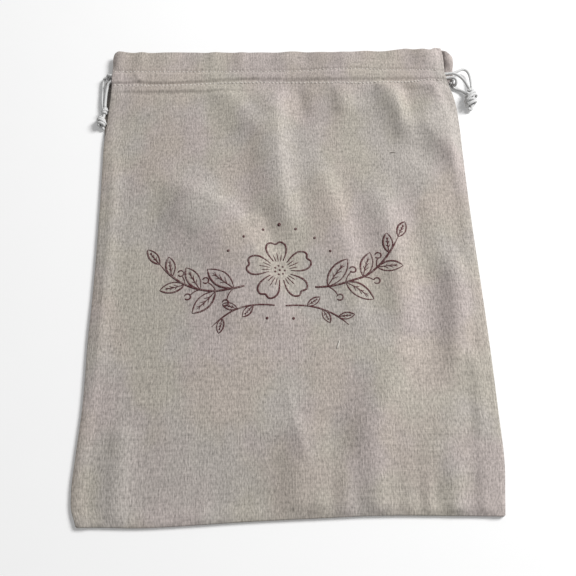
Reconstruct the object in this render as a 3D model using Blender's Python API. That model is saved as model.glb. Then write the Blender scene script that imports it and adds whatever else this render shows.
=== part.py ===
"""Flat drawstring bag of unlined linen, lying on its back with its mouth towards +Y.

Two cloth panels are sewn along both sides and the bottom, with the allowances turned in. Each
panel's top is folded inside as a deep hem: a header frill above a stitched channel. Two cotton
cords run through both channels, one with its knotted ends on the left, one on the right.
Metres, +Z up. The origin is on the surface that the bag lies on, under the middle of the back.
"""

import math

import bmesh
import bpy
from mathutils import Vector
from mathutils.geometry import interpolate_bezier

# The bag
WIDTH = 0.300
HEIGHT = 0.4035
CLOTH = 0.0010
GAP = 0.0003
LINEN = (0.40, 0.35, 0.31)
LINEN_ROUGHNESS = 0.9
ALLOWANCE = 0.008
HALF = WIDTH / 2
BOTTOM = -0.200
TOP = BOTTOM + HEIGHT
TURN_RADIUS = (CLOTH + GAP) / 2
TURN_STEPS = 3
MITRE_GAP = 0.0008
LOW_LINE = BOTTOM + TURN_RADIUS + CLOTH / 2
TINY = 1e-6

# The channel and the header above it
SEAM_TOP = 0.160
HEM_END = 0.1635
LOWER_STITCHES = 0.167
UPPER_STITCHES = 0.1812
CHANNEL_RISE = 0.0026
CORD = 0.0024
CORD_ROOM = 0.0005
COTTON = (0.80, 0.79, 0.76)
COTTON_ROUGHNESS = 0.8
CORD_LEVEL = CLOTH / 2 + CORD_ROOM + CORD / 2
CHANNEL_LEVEL = 2 * CORD_LEVEL

# Heights of the middle of the cloth above the surface
BACK_LEVEL = CLOTH / 2
FRONT_SEAM_LEVEL = BACK_LEVEL + 3 * (CLOTH + GAP)
FRONT_HEM_LEVEL = BACK_LEVEL + CHANNEL_LEVEL + CLOTH + GAP
CROWN = 0.0042
CROWN_RUN = 0.018
MOUTH_LIFT = 0.0044
MOUTH_EDGE_LIFT = 0.0022
MOUTH_FULL = 0.058
MOUTH_CLOSING = 0.131
MOUTH_CLOSING_RUN = 0.018
MOUTH_FADE = 0.070
HEADER_RUN = 0.012

# Where each edge leaves the plain rectangle: place along the edge, then how far towards +X or +Y.
LEFT_EDGE = (
    (-0.201, 0.0035),
    (-0.195, 0.0015),
    (-0.189, -0.0005),
    (-0.178, -0.0020),
    (-0.155, -0.0010),
    (-0.095, 0.0005),
    (-0.030, 0.0015),
    (0.040, 0.0005),
    (0.110, -0.0010),
    (0.139, 0.0003),
    (0.160, 0.0015),
    (0.190, 0.0022),
    (0.204, 0.0048),
)
RIGHT_SEAM = (
    (-0.200, -0.0010),
    (-0.180, 0.0010),
    (-0.125, 0.0035),
    (-0.060, 0.0025),
    (0.000, 0.0010),
    (0.110, -0.0005),
    (0.158, -0.0010),
)
FRONT_RIGHT_EDGE = RIGHT_SEAM + (
    (0.164, -0.0030),
    (0.171, -0.0055),
    (0.198, -0.0088),
    (0.204, -0.0098),
)
BACK_RIGHT_EDGE = RIGHT_SEAM + (
    (0.168, -0.0022),
    (0.177, -0.0018),
    (0.187, 0.0006),
    (0.204, -0.0006),
)
BOTTOM_EDGE = (
    (-0.145, -0.0015),
    (-0.105, -0.0030),
    (-0.065, -0.0015),
    (-0.035, 0.0000),
    (0.025, 0.0020),
    (0.055, 0.0030),
    (0.125, 0.0020),
    (0.150, 0.0015),
)
TOP_EDGE = (
    (-0.150, -0.0022),
    (-0.143, 0.0005),
    (-0.125, 0.0002),
    (-0.060, -0.0010),
    (0.000, -0.0020),
    (0.060, -0.0040),
    (0.100, -0.0052),
    (0.150, -0.0056),
)
EDGE_REACH = 0.060
TOP_REACH = 0.0635

# The front's main folds: start, middle and end of the crest, half its width, and its height,
# below zero for a trough. Each fades out in FOLD_FADE of its length at both ends.
FOLDS = (
    ((-0.030, 0.150), (-0.008, 0.090), (-0.002, 0.020), 0.015, 0.0021),
    ((-0.096, 0.062), (-0.058, 0.036), (-0.028, -0.032), 0.017, 0.0018),
    ((0.050, 0.075), (0.060, 0.020), (0.070, -0.040), 0.014, -0.0016),
    ((0.102, 0.045), (0.111, -0.010), (0.111, -0.075), 0.014, -0.0018),
    ((0.128, 0.020), (0.134, -0.040), (0.130, -0.085), 0.012, 0.0016),
    ((0.098, 0.105), (0.120, 0.091), (0.140, 0.076), 0.013, -0.0013),
    ((0.078, -0.075), (0.052, -0.120), (0.044, -0.172), 0.020, 0.0018),
    ((-0.130, -0.120), (-0.135, -0.155), (-0.133, -0.190), 0.011, -0.0012),
)
FOLD_FADE = 0.25

# Columns and rows of the cloth, from one fold line to the other
EDGE_INSETS = (0.0, 0.0025, ALLOWANCE)
FRONT_COLUMNS = 15
FRONT_ROWS = 19
BACK_COLUMNS = 5
BACK_ROWS = 9

# The cords' places in the channels
LOW_RUN = 0.1712
HIGH_RUN = 0.1762
RUN_END = 0.1408
BACK_CORD_LEVEL = BACK_LEVEL + CORD_LEVEL
CHANNEL_POINTS = 17
CURVE_STEPS = 3


def smooth(value):
    """0 up to 0, 1 from 1 on, with a soft start and end."""
    value = min(1.0, max(0.0, value))
    return value * value * (3 - 2 * value)


def read(table, place):
    """The table's value at a place, straight between its rows."""
    if place <= table[0][0]:
        return table[0][1]
    for (start, low), (end, high) in zip(table, table[1:]):
        if place <= end:
            return low + (high - low) * (place - start) / (end - start)
    return table[-1][1]


def mouth_lift(x):
    """How far the front's channel and header stand off the back's: open towards the right."""
    rise = MOUTH_LIFT * smooth(x / MOUTH_FULL)
    fall = (MOUTH_LIFT - MOUTH_EDGE_LIFT) * smooth((x - MOUTH_CLOSING) / MOUTH_CLOSING_RUN)
    return rise - fall


def fold_height(x, y):
    """The height that the folds add at a place on the front."""
    place = Vector((x, y))
    total = 0.0
    for start, middle, end, half_width, height in FOLDS:
        corners = [Vector(corner) for corner in (start, middle, end)]
        lengths = [(b - a).length for a, b in zip(corners, corners[1:])]
        nearest = None
        before = 0.0
        for (a, b), length in zip(zip(corners, corners[1:]), lengths):
            along = min(1.0, max(0.0, (place - a).dot(b - a) / length**2))
            distance = (place - a.lerp(b, along)).length
            if nearest is None or distance < nearest[0]:
                nearest = (distance, (before + along * length) / sum(lengths))
            before += length
        distance, along = nearest
        ends = smooth(along / FOLD_FADE) * smooth((1 - along) / FOLD_FADE)
        total += height * ends * math.exp(-((distance / half_width) ** 2))
    return total


def crown(x, y):
    """From 0 at the seams to 1 in the field, as the front rises off the back."""
    side = max(0.0, min(1.0, (HALF - abs(x)) / CROWN_RUN))
    end = max(0.0, min(1.0, (y - BOTTOM) / CROWN_RUN))
    return (1 - (1 - side) ** 2) * (1 - (1 - end) ** 2)


def front_level(x, y):
    """The height of the front's outer layer, in the middle of its cloth, without the channel."""
    field = FRONT_SEAM_LEVEL + crown(x, y) * (CROWN + fold_height(x, y))
    field += crown(x, y) * mouth_lift(x) * smooth((y - LOWER_STITCHES + MOUTH_FADE) / MOUTH_FADE)
    header = FRONT_HEM_LEVEL + 2 * TURN_RADIUS + mouth_lift(x)
    share = smooth(0.5 + (y - SEAM_TOP) / HEADER_RUN)
    return field + (header - field) * share


def channel(y):
    """1 over the cords, 0 at and beyond the two rows of stitches."""
    rise = (y - LOWER_STITCHES) / CHANNEL_RISE
    fall = (UPPER_STITCHES - y) / CHANNEL_RISE
    return max(0.0, min(1.0, rise, fall))


def cloth_height(side, hem, x, y):
    """The middle of the cloth of one layer of one panel. The layer over the cords bulges."""
    bulge = channel(y) * (CHANNEL_LEVEL - 2 * TURN_RADIUS)
    if side == "back":
        return BACK_LEVEL + (2 * TURN_RADIUS + bulge if hem else 0.0)
    if hem:
        return front_level(x, y) - 2 * TURN_RADIUS
    return front_level(x, y) + bulge


def outline_shift(side, x, y):
    """How far the uneven outline moves a point of the plain rectangle."""
    right_edge = FRONT_RIGHT_EDGE if side == "front" else BACK_RIGHT_EDGE
    left = smooth(1 - (x + HALF) / EDGE_REACH)
    right = smooth(1 - (HALF - x) / EDGE_REACH)
    low = smooth(1 - (y - BOTTOM) / EDGE_REACH)
    high = smooth(1 - (TOP - y) / TOP_REACH)
    across = left * read(LEFT_EDGE, y) + right * read(right_edge, y)
    along = low * read(BOTTOM_EDGE, x) + high * read(TOP_EDGE, x)
    return across, along


def fold_line(edge):
    """The line where an edge starts to turn, inside the outermost reach of its cloth."""
    return edge - TURN_RADIUS - CLOTH / 2


def turned_edge(insets):
    """Steps past a fold line: outward shift, drop and depth behind the panel."""
    steps = []
    for step in range(1, TURN_STEPS + 1):
        angle = math.pi * step / TURN_STEPS
        steps.append((TURN_RADIUS * math.sin(angle), TURN_RADIUS * (1 - math.cos(angle)), 0.0))
    for depth in insets[1:]:
        steps.append((-depth, 2 * TURN_RADIUS, depth))
    return steps


def spread(start, end, count):
    """count values between start and end, both left out."""
    return [start + (end - start) * step / (count + 1) for step in range(1, count + 1)]


def across_stations(columns):
    """Across the panel: place, outward shift, drop, depth behind the panel, and side."""
    line = fold_line(HALF)
    inner = [line - inset for inset in reversed(EDGE_INSETS)]
    right = inner[1:]
    left = [-place for place in reversed(inner)]
    main = left + spread(left[-1], inner[0], columns) + [inner[0]] + right
    turned = turned_edge(EDGE_INSETS)
    stations = [(-line, out, drop, depth, -1) for out, drop, depth in reversed(turned)]
    stations += [(place, 0.0, 0.0, 0.0, 0) for place in main]
    stations += [(line, out, drop, depth, 1) for out, drop, depth in turned]
    return stations


def along_stations(rows):
    """Up the panel: place, outward shift, drop, depth, and part: bottom, main, turn or hem."""
    high_line = fold_line(TOP)
    insets = [LOW_LINE + inset for inset in EDGE_INSETS]
    field = insets + spread(insets[-1], SEAM_TOP, rows) + [SEAM_TOP]
    casing = [
        HEM_END,
        LOWER_STITCHES,
        LOWER_STITCHES + CHANNEL_RISE,
        (LOWER_STITCHES + UPPER_STITCHES) / 2,
        UPPER_STITCHES - CHANNEL_RISE,
        UPPER_STITCHES,
        (UPPER_STITCHES + high_line) / 2,
        high_line,
    ]
    turned = turned_edge(EDGE_INSETS)
    stations = [(LOW_LINE, out, drop, depth, "bottom") for out, drop, depth in reversed(turned)]
    stations += [(place, 0.0, 0.0, 0.0, "main") for place in field + casing]
    stations += [
        (high_line, out, drop, 0.0, "turn") for out, drop, depth in turned[: TURN_STEPS - 1]
    ]
    stations += [(place, 0.0, 0.0, 0.0, "hem") for place in reversed(casing)]
    return stations


def cloth_point(side, across, along):
    """The middle of the cloth where an across and an along station meet, or None off the cloth."""
    x, out_x, drop_x, depth_x, edge = across
    y, out_y, drop_y, depth_y, part = along
    side_inset = fold_line(HALF) - abs(x)
    low_inset = y - LOW_LINE
    if edge and (part != "main" or y > SEAM_TOP or depth_x > low_inset + TINY):
        return None
    if depth_y > side_inset + TINY:
        return None
    if depth_x:
        x += edge * out_x
        y = max(y, LOW_LINE + depth_x + MITRE_GAP)
    if depth_y:
        reach = fold_line(HALF) - depth_y - MITRE_GAP
        x = max(-reach, min(reach, x))
        y -= out_y
    height = cloth_height(side, part == "hem", x, y)
    shift_x, shift_y = outline_shift(side, x, y)
    if not depth_x:
        shift_x += edge * out_x
    if not depth_y:
        shift_y += out_y * (-1 if part == "bottom" else 1)
    rise = (drop_x + drop_y) * (1 if side == "back" else -1)
    return Vector((x + shift_x, y + shift_y, height + rise))


def make_panel(side, columns, rows):
    """One panel: its field, seam allowances, channel, header and hem as one folded cloth."""
    across = across_stations(columns)
    along = along_stations(rows)
    mesh = bpy.data.meshes.new(f"{side}_panel")
    bm = bmesh.new()
    grid = {}
    for i, station in enumerate(across):
        for j, row in enumerate(along):
            point = cloth_point(side, station, row)
            if point is not None:
                grid[i, j] = bm.verts.new(point)
    for i in range(len(across) - 1):
        for j in range(len(along) - 1):
            corners = [(i, j), (i + 1, j), (i + 1, j + 1), (i, j + 1)]
            on_cloth = [corner for corner in corners if corner in grid]
            open_corner = across[i][4] != across[i + 1][4] and along[j][4] != along[j + 1][4]
            if len(on_cloth) == 4 or (len(on_cloth) == 3 and not open_corner):
                bm.faces.new([grid[corner] for corner in on_cloth])
    bm.to_mesh(mesh)
    bm.free()
    panel = bpy.data.objects.new(mesh.name, mesh)
    bpy.context.collection.objects.link(panel)
    mesh.materials.append(make_material(f"{side}_linen", LINEN, LINEN_ROUGHNESS))
    solid = panel.modifiers.new("Cloth thickness", "SOLIDIFY")
    solid.thickness = CLOTH
    solid.offset = 0.0
    solid.use_even_offset = True
    solid.use_quality_normals = True
    return panel


def front_cord_level(x):
    """The height of a cord's middle in the front's channel."""
    return FRONT_HEM_LEVEL + mouth_lift(x) + CORD_LEVEL


def channel_run(side, y, start, end):
    """Points of a cord in a panel's channel, from one end to the other."""
    points = []
    for x in [start] + spread(start, end, CHANNEL_POINTS - 2) + [end]:
        shift_x, shift_y = outline_shift(side, x, y)
        level = BACK_CORD_LEVEL if side == "back" else front_cord_level(x)
        points.append((x + shift_x, y + shift_y, level))
    return points


# The loose ends and turns of the cords beside the bag, each from one channel towards the next
LEFT_INNER_END = (
    (-0.1522, 0.1462, 0.0042),
    (-0.1529, 0.1505, 0.0040),
    (-0.1531, 0.1565, 0.0040),
    (-0.1530, 0.1632, 0.0046),
    (-0.1525, 0.1678, 0.0057),
    (-0.1511, 0.1705, 0.0073),
    (-0.1486, 0.1713, 0.0083),
    (-0.1450, 0.1712, 0.0084),
)
LEFT_OUTER_END = (
    (-0.1450, 0.1761, 0.0027),
    (-0.1486, 0.1770, 0.0026),
    (-0.1516, 0.1792, 0.0024),
    (-0.1546, 0.1798, 0.0019),
    (-0.1570, 0.1776, 0.0014),
    (-0.1575, 0.1730, 0.0014),
    (-0.1569, 0.1665, 0.0014),
    (-0.1566, 0.1590, 0.0014),
    (-0.1561, 0.1528, 0.0018),
    (-0.1551, 0.1472, 0.0028),
)
RIGHT_TURN = (
    (0.1400, 0.1685, 0.0108),
    (0.1440, 0.1688, 0.0107),
    (0.1477, 0.1693, 0.0107),
    (0.1507, 0.1686, 0.0101),
    (0.1527, 0.1667, 0.0088),
    (0.1529, 0.1642, 0.0072),
    (0.1518, 0.1627, 0.0058),
    (0.1511, 0.1640, 0.0048),
    (0.1516, 0.1668, 0.0040),
    (0.1516, 0.1700, 0.0035),
    (0.1498, 0.1722, 0.0029),
    (0.1450, 0.1730, 0.0027),
)
LEFT_TURN = (
    (-0.1450, 0.1761, 0.0084),
    (-0.1484, 0.1768, 0.0084),
    (-0.1510, 0.1786, 0.0079),
    (-0.1521, 0.1794, 0.0066),
    (-0.1518, 0.1775, 0.0053),
    (-0.1509, 0.1742, 0.0040),
    (-0.1488, 0.1718, 0.0028),
    (-0.1450, 0.1712, 0.0027),
)
RIGHT_UPPER_END = (
    (0.1400, 0.1729, 0.0108),
    (0.1440, 0.1729, 0.0107),
    (0.1476, 0.1731, 0.0107),
    (0.1508, 0.1727, 0.0101),
    (0.1540, 0.1714, 0.0088),
    (0.1570, 0.1697, 0.0077),
    (0.1596, 0.1670, 0.0068),
    (0.1616, 0.1634, 0.0061),
    (0.1632, 0.1596, 0.0057),
)
RIGHT_LOWER_END = (
    (0.1590, 0.1568, 0.0028),
    (0.1567, 0.1602, 0.0018),
    (0.1540, 0.1624, 0.0014),
    (0.1515, 0.1632, 0.0014),
    (0.1501, 0.1651, 0.0018),
    (0.1483, 0.1673, 0.0024),
    (0.1450, 0.1685, 0.0027),
)
RIGHT_TAIL = (
    (0.1664, 0.1603, 0.0047),
    (0.1667, 0.1650, 0.0043),
    (0.1668, 0.1700, 0.0040),
    (0.1666, 0.1747, 0.0040),
    (0.1656, 0.1788, 0.0042),
    (0.1636, 0.1813, 0.0046),
    (0.1609, 0.1818, 0.0050),
    (0.1578, 0.1801, 0.0056),
    (0.1546, 0.1782, 0.0062),
    (0.1515, 0.1780, 0.0060),
    (0.1488, 0.1796, 0.0055),
    (0.1466, 0.1820, 0.0051),
    (0.1450, 0.1844, 0.0050),
)

# Each knot as rings along it: place along Y, place along X, and half its width. It lies on the surface.
KNOT_LIFT = 0.0001
KNOT_SIDES = 10
KNOT_FLATNESS = 0.82
LEFT_KNOT = (
    (0.1445, -0.1533, 0.0015),
    (0.1420, -0.1530, 0.0023),
    (0.1395, -0.1529, 0.0025),
    (0.1368, -0.1534, 0.0022),
    (0.1340, -0.1542, 0.0034),
    (0.1308, -0.1544, 0.0038),
    (0.1282, -0.1535, 0.0026),
    (0.1262, -0.1522, 0.0014),
)
RIGHT_KNOT = (
    (0.1575, 0.1647, 0.0020),
    (0.1545, 0.1645, 0.0038),
    (0.1505, 0.1638, 0.0054),
    (0.1465, 0.1637, 0.0056),
    (0.1430, 0.1634, 0.0042),
    (0.1400, 0.1626, 0.0024),
    (0.1376, 0.1622, 0.0015),
)


def make_cord(name, route):
    """A cord as a tube along a smooth curve through its route's own points."""
    points = [Vector(point) for point in route]
    ends = [points[0] * 2 - points[1]] + points + [points[-1] * 2 - points[-2]]
    line = []
    for before, start, end, after in zip(ends, ends[1:], ends[2:], ends[3:]):
        reach = (end - start).length / 3
        leave = start + (end - before).normalized() * reach
        arrive = end - (after - start).normalized() * reach
        line += interpolate_bezier(start, leave, arrive, end, CURVE_STEPS)[:-1]
    line.append(points[-1])
    curve = bpy.data.curves.new(name, "CURVE")
    curve.dimensions = "3D"
    curve.bevel_depth = CORD / 2
    curve.bevel_resolution = 2
    curve.use_fill_caps = True
    spline = curve.splines.new("POLY")
    spline.points.add(len(line) - 1)
    for point, place in zip(spline.points, line):
        point.co = (*place, 1.0)
    curve.materials.append(make_material(f"{name}_cotton", COTTON, COTTON_ROUGHNESS))
    cord = bpy.data.objects.new(name, curve)
    bpy.context.collection.objects.link(cord)
    return cord


def make_knot(name, rings):
    """A knot's outer form: rings of its table joined into one closed body."""
    centre_height = max(half for _, _, half in rings) * KNOT_FLATNESS + KNOT_LIFT
    bm = bmesh.new()
    loops = []
    for y, x, half in rings:
        loop = []
        for side in range(KNOT_SIDES):
            angle = 2 * math.pi * side / KNOT_SIDES
            offset = Vector((math.cos(angle), 0.0, KNOT_FLATNESS * math.sin(angle))) * half
            loop.append(bm.verts.new(Vector((x, y, centre_height)) + offset))
        loops.append(loop)
    for first, second in zip(loops, loops[1:]):
        for side in range(KNOT_SIDES):
            after = (side + 1) % KNOT_SIDES
            bm.faces.new((first[side], first[after], second[after], second[side]))
    bm.faces.new(reversed(loops[0]))
    bm.faces.new(loops[-1])
    bmesh.ops.recalc_face_normals(bm, faces=bm.faces)
    mesh = bpy.data.meshes.new(name)
    bm.to_mesh(mesh)
    bm.free()
    mesh.shade_smooth()
    mesh.materials.append(make_material(f"{name}_cotton", COTTON, COTTON_ROUGHNESS))
    knot = bpy.data.objects.new(name, mesh)
    bpy.context.collection.objects.link(knot)
    return knot


def make_material(name, colour, roughness):
    """A plain matt material."""
    material = bpy.data.materials.new(name)
    material.use_nodes = True
    shader = material.node_tree.nodes["Principled BSDF"]
    shader.inputs["Base Color"].default_value = (*colour, 1.0)
    shader.inputs["Roughness"].default_value = roughness
    shader.inputs["Metallic"].default_value = 0.0
    return material


def main():
    for old in list(bpy.data.objects):
        bpy.data.objects.remove(old)
    make_panel("front", FRONT_COLUMNS, FRONT_ROWS)
    make_panel("back", BACK_COLUMNS, BACK_ROWS)
    left_route = (
        list(LEFT_INNER_END)
        + channel_run("front", LOW_RUN, -RUN_END, RUN_END)
        + list(RIGHT_TURN)
        + channel_run("back", HIGH_RUN, RUN_END, -RUN_END)
        + list(LEFT_OUTER_END)
    )
    right_route = (
        list(RIGHT_LOWER_END)
        + channel_run("back", LOW_RUN, RUN_END, -RUN_END)
        + list(reversed(LEFT_TURN))
        + channel_run("front", HIGH_RUN, -RUN_END, RUN_END)
        + list(RIGHT_UPPER_END)
    )
    make_cord("drawcord_left", left_route)
    make_cord("drawcord_right", right_route)
    make_cord("drawcord_right_tail", RIGHT_TAIL)
    make_knot("knot_left", LEFT_KNOT)
    make_knot("knot_right", RIGHT_KNOT)


main()
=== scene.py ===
"""The looks of a flat drawstring bag of unlined linen that lies on its back, around its fixed frame.

Metres, +Z up, but millimetres inside mm(). The bag's mouth is towards +Y and its origin is on the
surface under the middle. Flat places on the cloth are given as (x, y) of the plain rectangle that
each panel is sewn to.
"""

import math

import bpy
import numpy as np
from bpy.props import FloatProperty, FloatVectorProperty, IntProperty, PointerProperty
from bpy.types import Operator, Panel, PropertyGroup
from mathutils import Matrix, Vector


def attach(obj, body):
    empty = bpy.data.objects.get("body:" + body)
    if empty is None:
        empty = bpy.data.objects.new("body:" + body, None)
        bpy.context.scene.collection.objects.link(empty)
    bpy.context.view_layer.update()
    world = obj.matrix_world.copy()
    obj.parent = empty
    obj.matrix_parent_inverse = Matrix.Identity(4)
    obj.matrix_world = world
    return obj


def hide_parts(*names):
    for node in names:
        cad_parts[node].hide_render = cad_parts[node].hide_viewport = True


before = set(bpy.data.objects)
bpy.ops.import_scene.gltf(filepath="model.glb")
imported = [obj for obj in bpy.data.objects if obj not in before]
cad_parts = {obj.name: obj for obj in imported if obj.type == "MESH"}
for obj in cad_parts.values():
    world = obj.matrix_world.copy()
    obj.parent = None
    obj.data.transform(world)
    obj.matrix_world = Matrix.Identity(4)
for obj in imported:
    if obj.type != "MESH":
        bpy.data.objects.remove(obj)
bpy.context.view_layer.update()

bl_info = {
    "name": "Drawstring Linen Bag",
    "version": (1, 0, 0),
    "blender": (4, 5, 0),
    "location": "3D View > Sidebar > Bag",
    "description": "A flat linen bag with two drawcords, laid on its back",
    "category": "Object",
}


def mm(*rows):
    """A table in metres from its rows in millimetres."""
    return tuple(mm(*row) if isinstance(row, tuple) else row / 1000 for row in rows)


# The plain rectangle that each panel is sewn to
HALF = 0.150
BOTTOM = -0.200
TOP = 0.2035
ALLOWANCE = 0.008
SEAM_TOP = 0.160
HEM_END = 0.1635
CASING_START = 0.157
CASING_END = 0.186
LOWER_STITCHES = 0.167
UPPER_STITCHES = 0.1812
LAYER = 0.0007
TURN = LAYER / 2

# Heights of the middle of the cloth above the surface
BACK_LEVEL = 0.0005
SEAM_LEVEL = BACK_LEVEL + 3 * LAYER
FIELD_LEVEL = 0.0072
HEM_LEVEL = 0.0061
CASING_LEVEL = HEM_LEVEL + LAYER + 0.00005
HEADER_LEVEL = HEM_LEVEL + 2 * LAYER
OVER_CORDS = 0.0085
BACK_OVER_CORDS = 0.0044

# How far the hem sags under the cords, and from where to where
HEM_SAG = 0.0008
HEM_SAG_SPAN = mm(167.5, 169.5, 178, 180.5)
# Where the cloth starts to rise over the cords and where it is down again, and over what lengths
CORD_RISE = 0.1674
CORD_FALL = UPPER_STITCHES - 0.0004
CORD_RISE_RUN = 0.0028
CORD_FALL_RUN = 0.0034
# The field's crown: its reach from the left, the right and the bottom, and where it starts
CROWN_LEFT = 0.105
CROWN_RIGHT = 0.075
CROWN_LOW = 0.085
CROWN_EDGE = 0.004
# Where the field starts to rise to the channel, and how far the stitches hold the cloth down
CASING_RISE = 0.120
STITCH_HOLD_LEFT = 0.016
STITCH_HOLD_RIGHT = 0.011
# How far in from a seam it holds the cloth down, and how far in the turned-in edges lift it
SEAM_HOLD = 0.012
PUCKER_HOLD = 0.004
EDGE_RIDGE = mm(0, 3, 7, 11.5)
EDGE_RIDGE_HEIGHT = 0.0009
# The right-hand seam's curl below the channel: from where to where, how deep, and how far in
CURL_SPAN = mm(115, 145, 160, 166)
CURL_DROP = 0.0018
CURL_REACH = 0.0048
# The step over the hem's turned end, and the stretch of it that stands highest
HEM_STEP = 0.0015
HEM_STEP_START = 0.1582
HEM_STEP_SPAN = mm(-150, -128, -68, -20)
# Heights of the finest unevenness, and over what lengths the gathers and the puckers fade
GATHERS = 0.0004
GATHERS_FADE = 0.022
FRILL = 0.0004
LOW_PUCKER = 0.0003
LOW_PUCKER_FADE = 0.016
SIDE_PUCKER = 0.00035
SIDE_PUCKER_FADE = 0.012

# The open side of the mouth, towards the right
MOUTH_LIFT = 0.0044
MOUTH_EDGE_LIFT = 0.0022
MOUTH_FULL = 0.058
MOUTH_CLOSING = 0.131
MOUTH_CLOSING_RUN = 0.018
MOUTH_FADE = 0.070
MOUTH_SIDE_RUN = 0.030

# Where each edge leaves the plain rectangle: place along the edge, then how far towards +X or +Y
LEFT_EDGE = mm(
    (-201, 3.2), (-195, 1.3), (-189, -1.1), (-178, -2.4), (-155, -1.7), (-119, 0.1), (-60, -0.1),
    (-30, 0.5), (40, 0.2), (85, -0.6), (115, -1), (139, 0.9), (160, 2.4), (190, 1.7), (199, 1.4),
    (203.5, 2.4),
)
RIGHT_SEAM = mm(
    (-200, 0.2), (-186, 1.8), (-166, 4), (-125, 4.2), (-60, 3.6), (-10, 2.4), (40, 1.2), (100, 0.7),
    (128, 0.6), (140, -0.3), (152, -2.6), (158, -4.3),
)
FRONT_RIGHT_EDGE = RIGHT_SEAM + mm(
    (164, -6.2), (171, -8), (198, -8.9), (204, -9.8),
)
BACK_RIGHT_EDGE = RIGHT_SEAM + mm(
    (166, -4.4), (171, -3.2), (174.5, -0.8), (179, 0.2), (187, 0.6), (196, 1.2), (204, 1.2),
)
# How much further to the left the back's edge shows beside the front's, in its shade
BACK_LEFT_SHOWS = mm(
    (112, 0), (126, -1.8), (136, -3.6), (150, -4.6), (164, -5.2), (172.5, -5.8), (176.5, 0),
)
BOTTOM_EDGE = mm(
    (-150, -2.2), (-138, -2.2), (-105, -3.1), (-65, -1.8), (-35, -0.3), (25, 1.7), (55, 2.6),
    (125, 1.5), (150, 0.8),
)
TOP_EDGE = mm(
    (-150, -1.2), (-148.5, -0.1), (-146, 0.3), (-141, 0.2), (-125, 0.2), (-60, -1), (0, -2), (60, -4),
    (100, -5.2), (150, -5.6),
)
# How much longer than that the header of the front is, and the open corner of the back's header
FRONT_TRIM = mm(
    (-150, 0.4), (-142, -1), (-120, -2.1), (-79, -0.9), (-66, -1.8), (-53, -1.4), (-35, -2),
    (-14, -1.1), (0, -2), (12, -0.8), (38, -2.9), (53, -3.5), (75, -1.6), (91, -1.7), (104, -0.1),
    (112, 0.6), (122, -1.3), (130, -1.9), (139, -2.4), (145, 1.6), (150, 2.4),
)
BACK_TRIM = mm(
    (110, 0), (128, 5.4), (139, 7.7), (144.5, 1.2), (150, -4.2),
)
# How far the back's right-hand corner curls up, from where along X and Y and over what lengths
BACK_CORNER_LIFT = 0.0056
BACK_CORNER = (0.1385, 0.183)
BACK_CORNER_RUN = (0.0064, 0.013)
# How far the front's left-hand corner droops, from where along Y and over what lengths
LEFT_DROOP = 0.0024
LEFT_DROOP_START = 0.181
LEFT_DROOP_RUN = (0.0045, 0.006)
# How much further up than the lower stitches the crease under the cords lies
CREASE = mm(
    (-150, 0), (-140, 0.4), (-128, 1.6), (-115, 0), (-95, 0), (-75, 1.2), (-45, 3), (-15, 3.4),
    (8, 2.2), (35, 0.2), (150, 0),
)
# The same for the lower stitches themselves
STITCH_DRIFT = mm(
    (-150, 0), (-86, -0.8), (-62, 0.9), (-30, 1.6), (-8, 1.6), (23, 0), (53, -2.4), (84, -2.7),
    (118, -1.4), (134, 0.8), (150, 0.6),
)
# How far in from the sides and the bottom, and from the top, those shifts are felt
EDGE_REACH = 0.060
TOP_REACH = 0.0635
# Where the header's own trim starts, where its waves start, and where their places are true
TRIM_START = 0.184
WAVE_START = 0.174
WAVE_RUN = 0.022
WAVE_LEVEL = 0.190

# The front's soft folds: start, middle and end of the crest, its reach to the left and to the
# right, and its height, below zero for a trough
FOLDS = mm(
    # from the channel down past the middle
    ((-4, 180), (-5, 95), (7, 12), 21, 9, 6.2),
    ((-60, 170), (-40, 146), (-18, 104), 15, 10, 3),
    # from the left side down across the middle
    ((-110, 64), (-39, 29), (-1, -78), 34, 11, 4.7),
    ((-20, 48), (-12, 24), (-2, -4), 5, 11, -1.6),
    ((-124, 84), (-80, 66), (-34, 44), 28, 16, 1),
    ((-96, 50), (-68, 28), (-40, -6), 12, 22, 1.3),
    ((-52, -8), (-42, -34), (-38, -68), 9, 14, 1.7),
    # upright ones right of the middle
    ((24, 92), (45, 26), (58, -78), 15, 8, 3),
    ((45, 96), (63, 15), (72, -80), 12, 14, -1),
    ((70, 80), (87, 2), (90, -72), 12, 8, 2.5),
    ((90, 80), (108, -10), (100, -104), 13, 12, -3.4),
    ((128, 12), (130, -44), (119, -110), 9, 10, 4.2),
    # down to the bottom
    ((96, -66), (76, -112), (38, -158), 24, 9, 2.6),
    ((84, -84), (64, -140), (56, -214), 18, 16, 3.6),
    ((10, -124), (9, -162), (8, -218), 13, 18, 3.2),
    ((-2, -102), (7, -135), (17, -166), 3.5, 3.5, 0.8),
    ((94, -166), (112, -140), (132, -114), 6, 6, 0.8),
    ((136, -74), (138, -108), (136, -150), 5, 5, 1.8),
    ((-119, -124), (-119, -164), (-119, -222), 9, 8, 2.4),
    # fans out from the channel on the right
    ((12, 182), (15, 154), (19, 122), 7, 6, -1.9),
    ((46, 182), (49, 154), (54, 128), 7, 9, 2.2),
    ((78, 184), (95, 142), (110, 98), 11, 8, 4.4),
    ((96, 155), (126, 152), (160, 140), 26, 12, -5),
    ((138, 180), (140, 148), (142, 112), 22, 6, 3),
    ((126, 176), (139, 120), (142, 48), 36, 7, 5.2),
    ((106, 134), (132, 107), (152, 80), 9, 14, 3.4),
    ((104, 106), (126, 82), (150, 58), 10, 10, -1.5),
    # down the left side
    ((-142, 120), (-140, 10), (-142, -130), 5, 6, 1.9),
)
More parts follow.
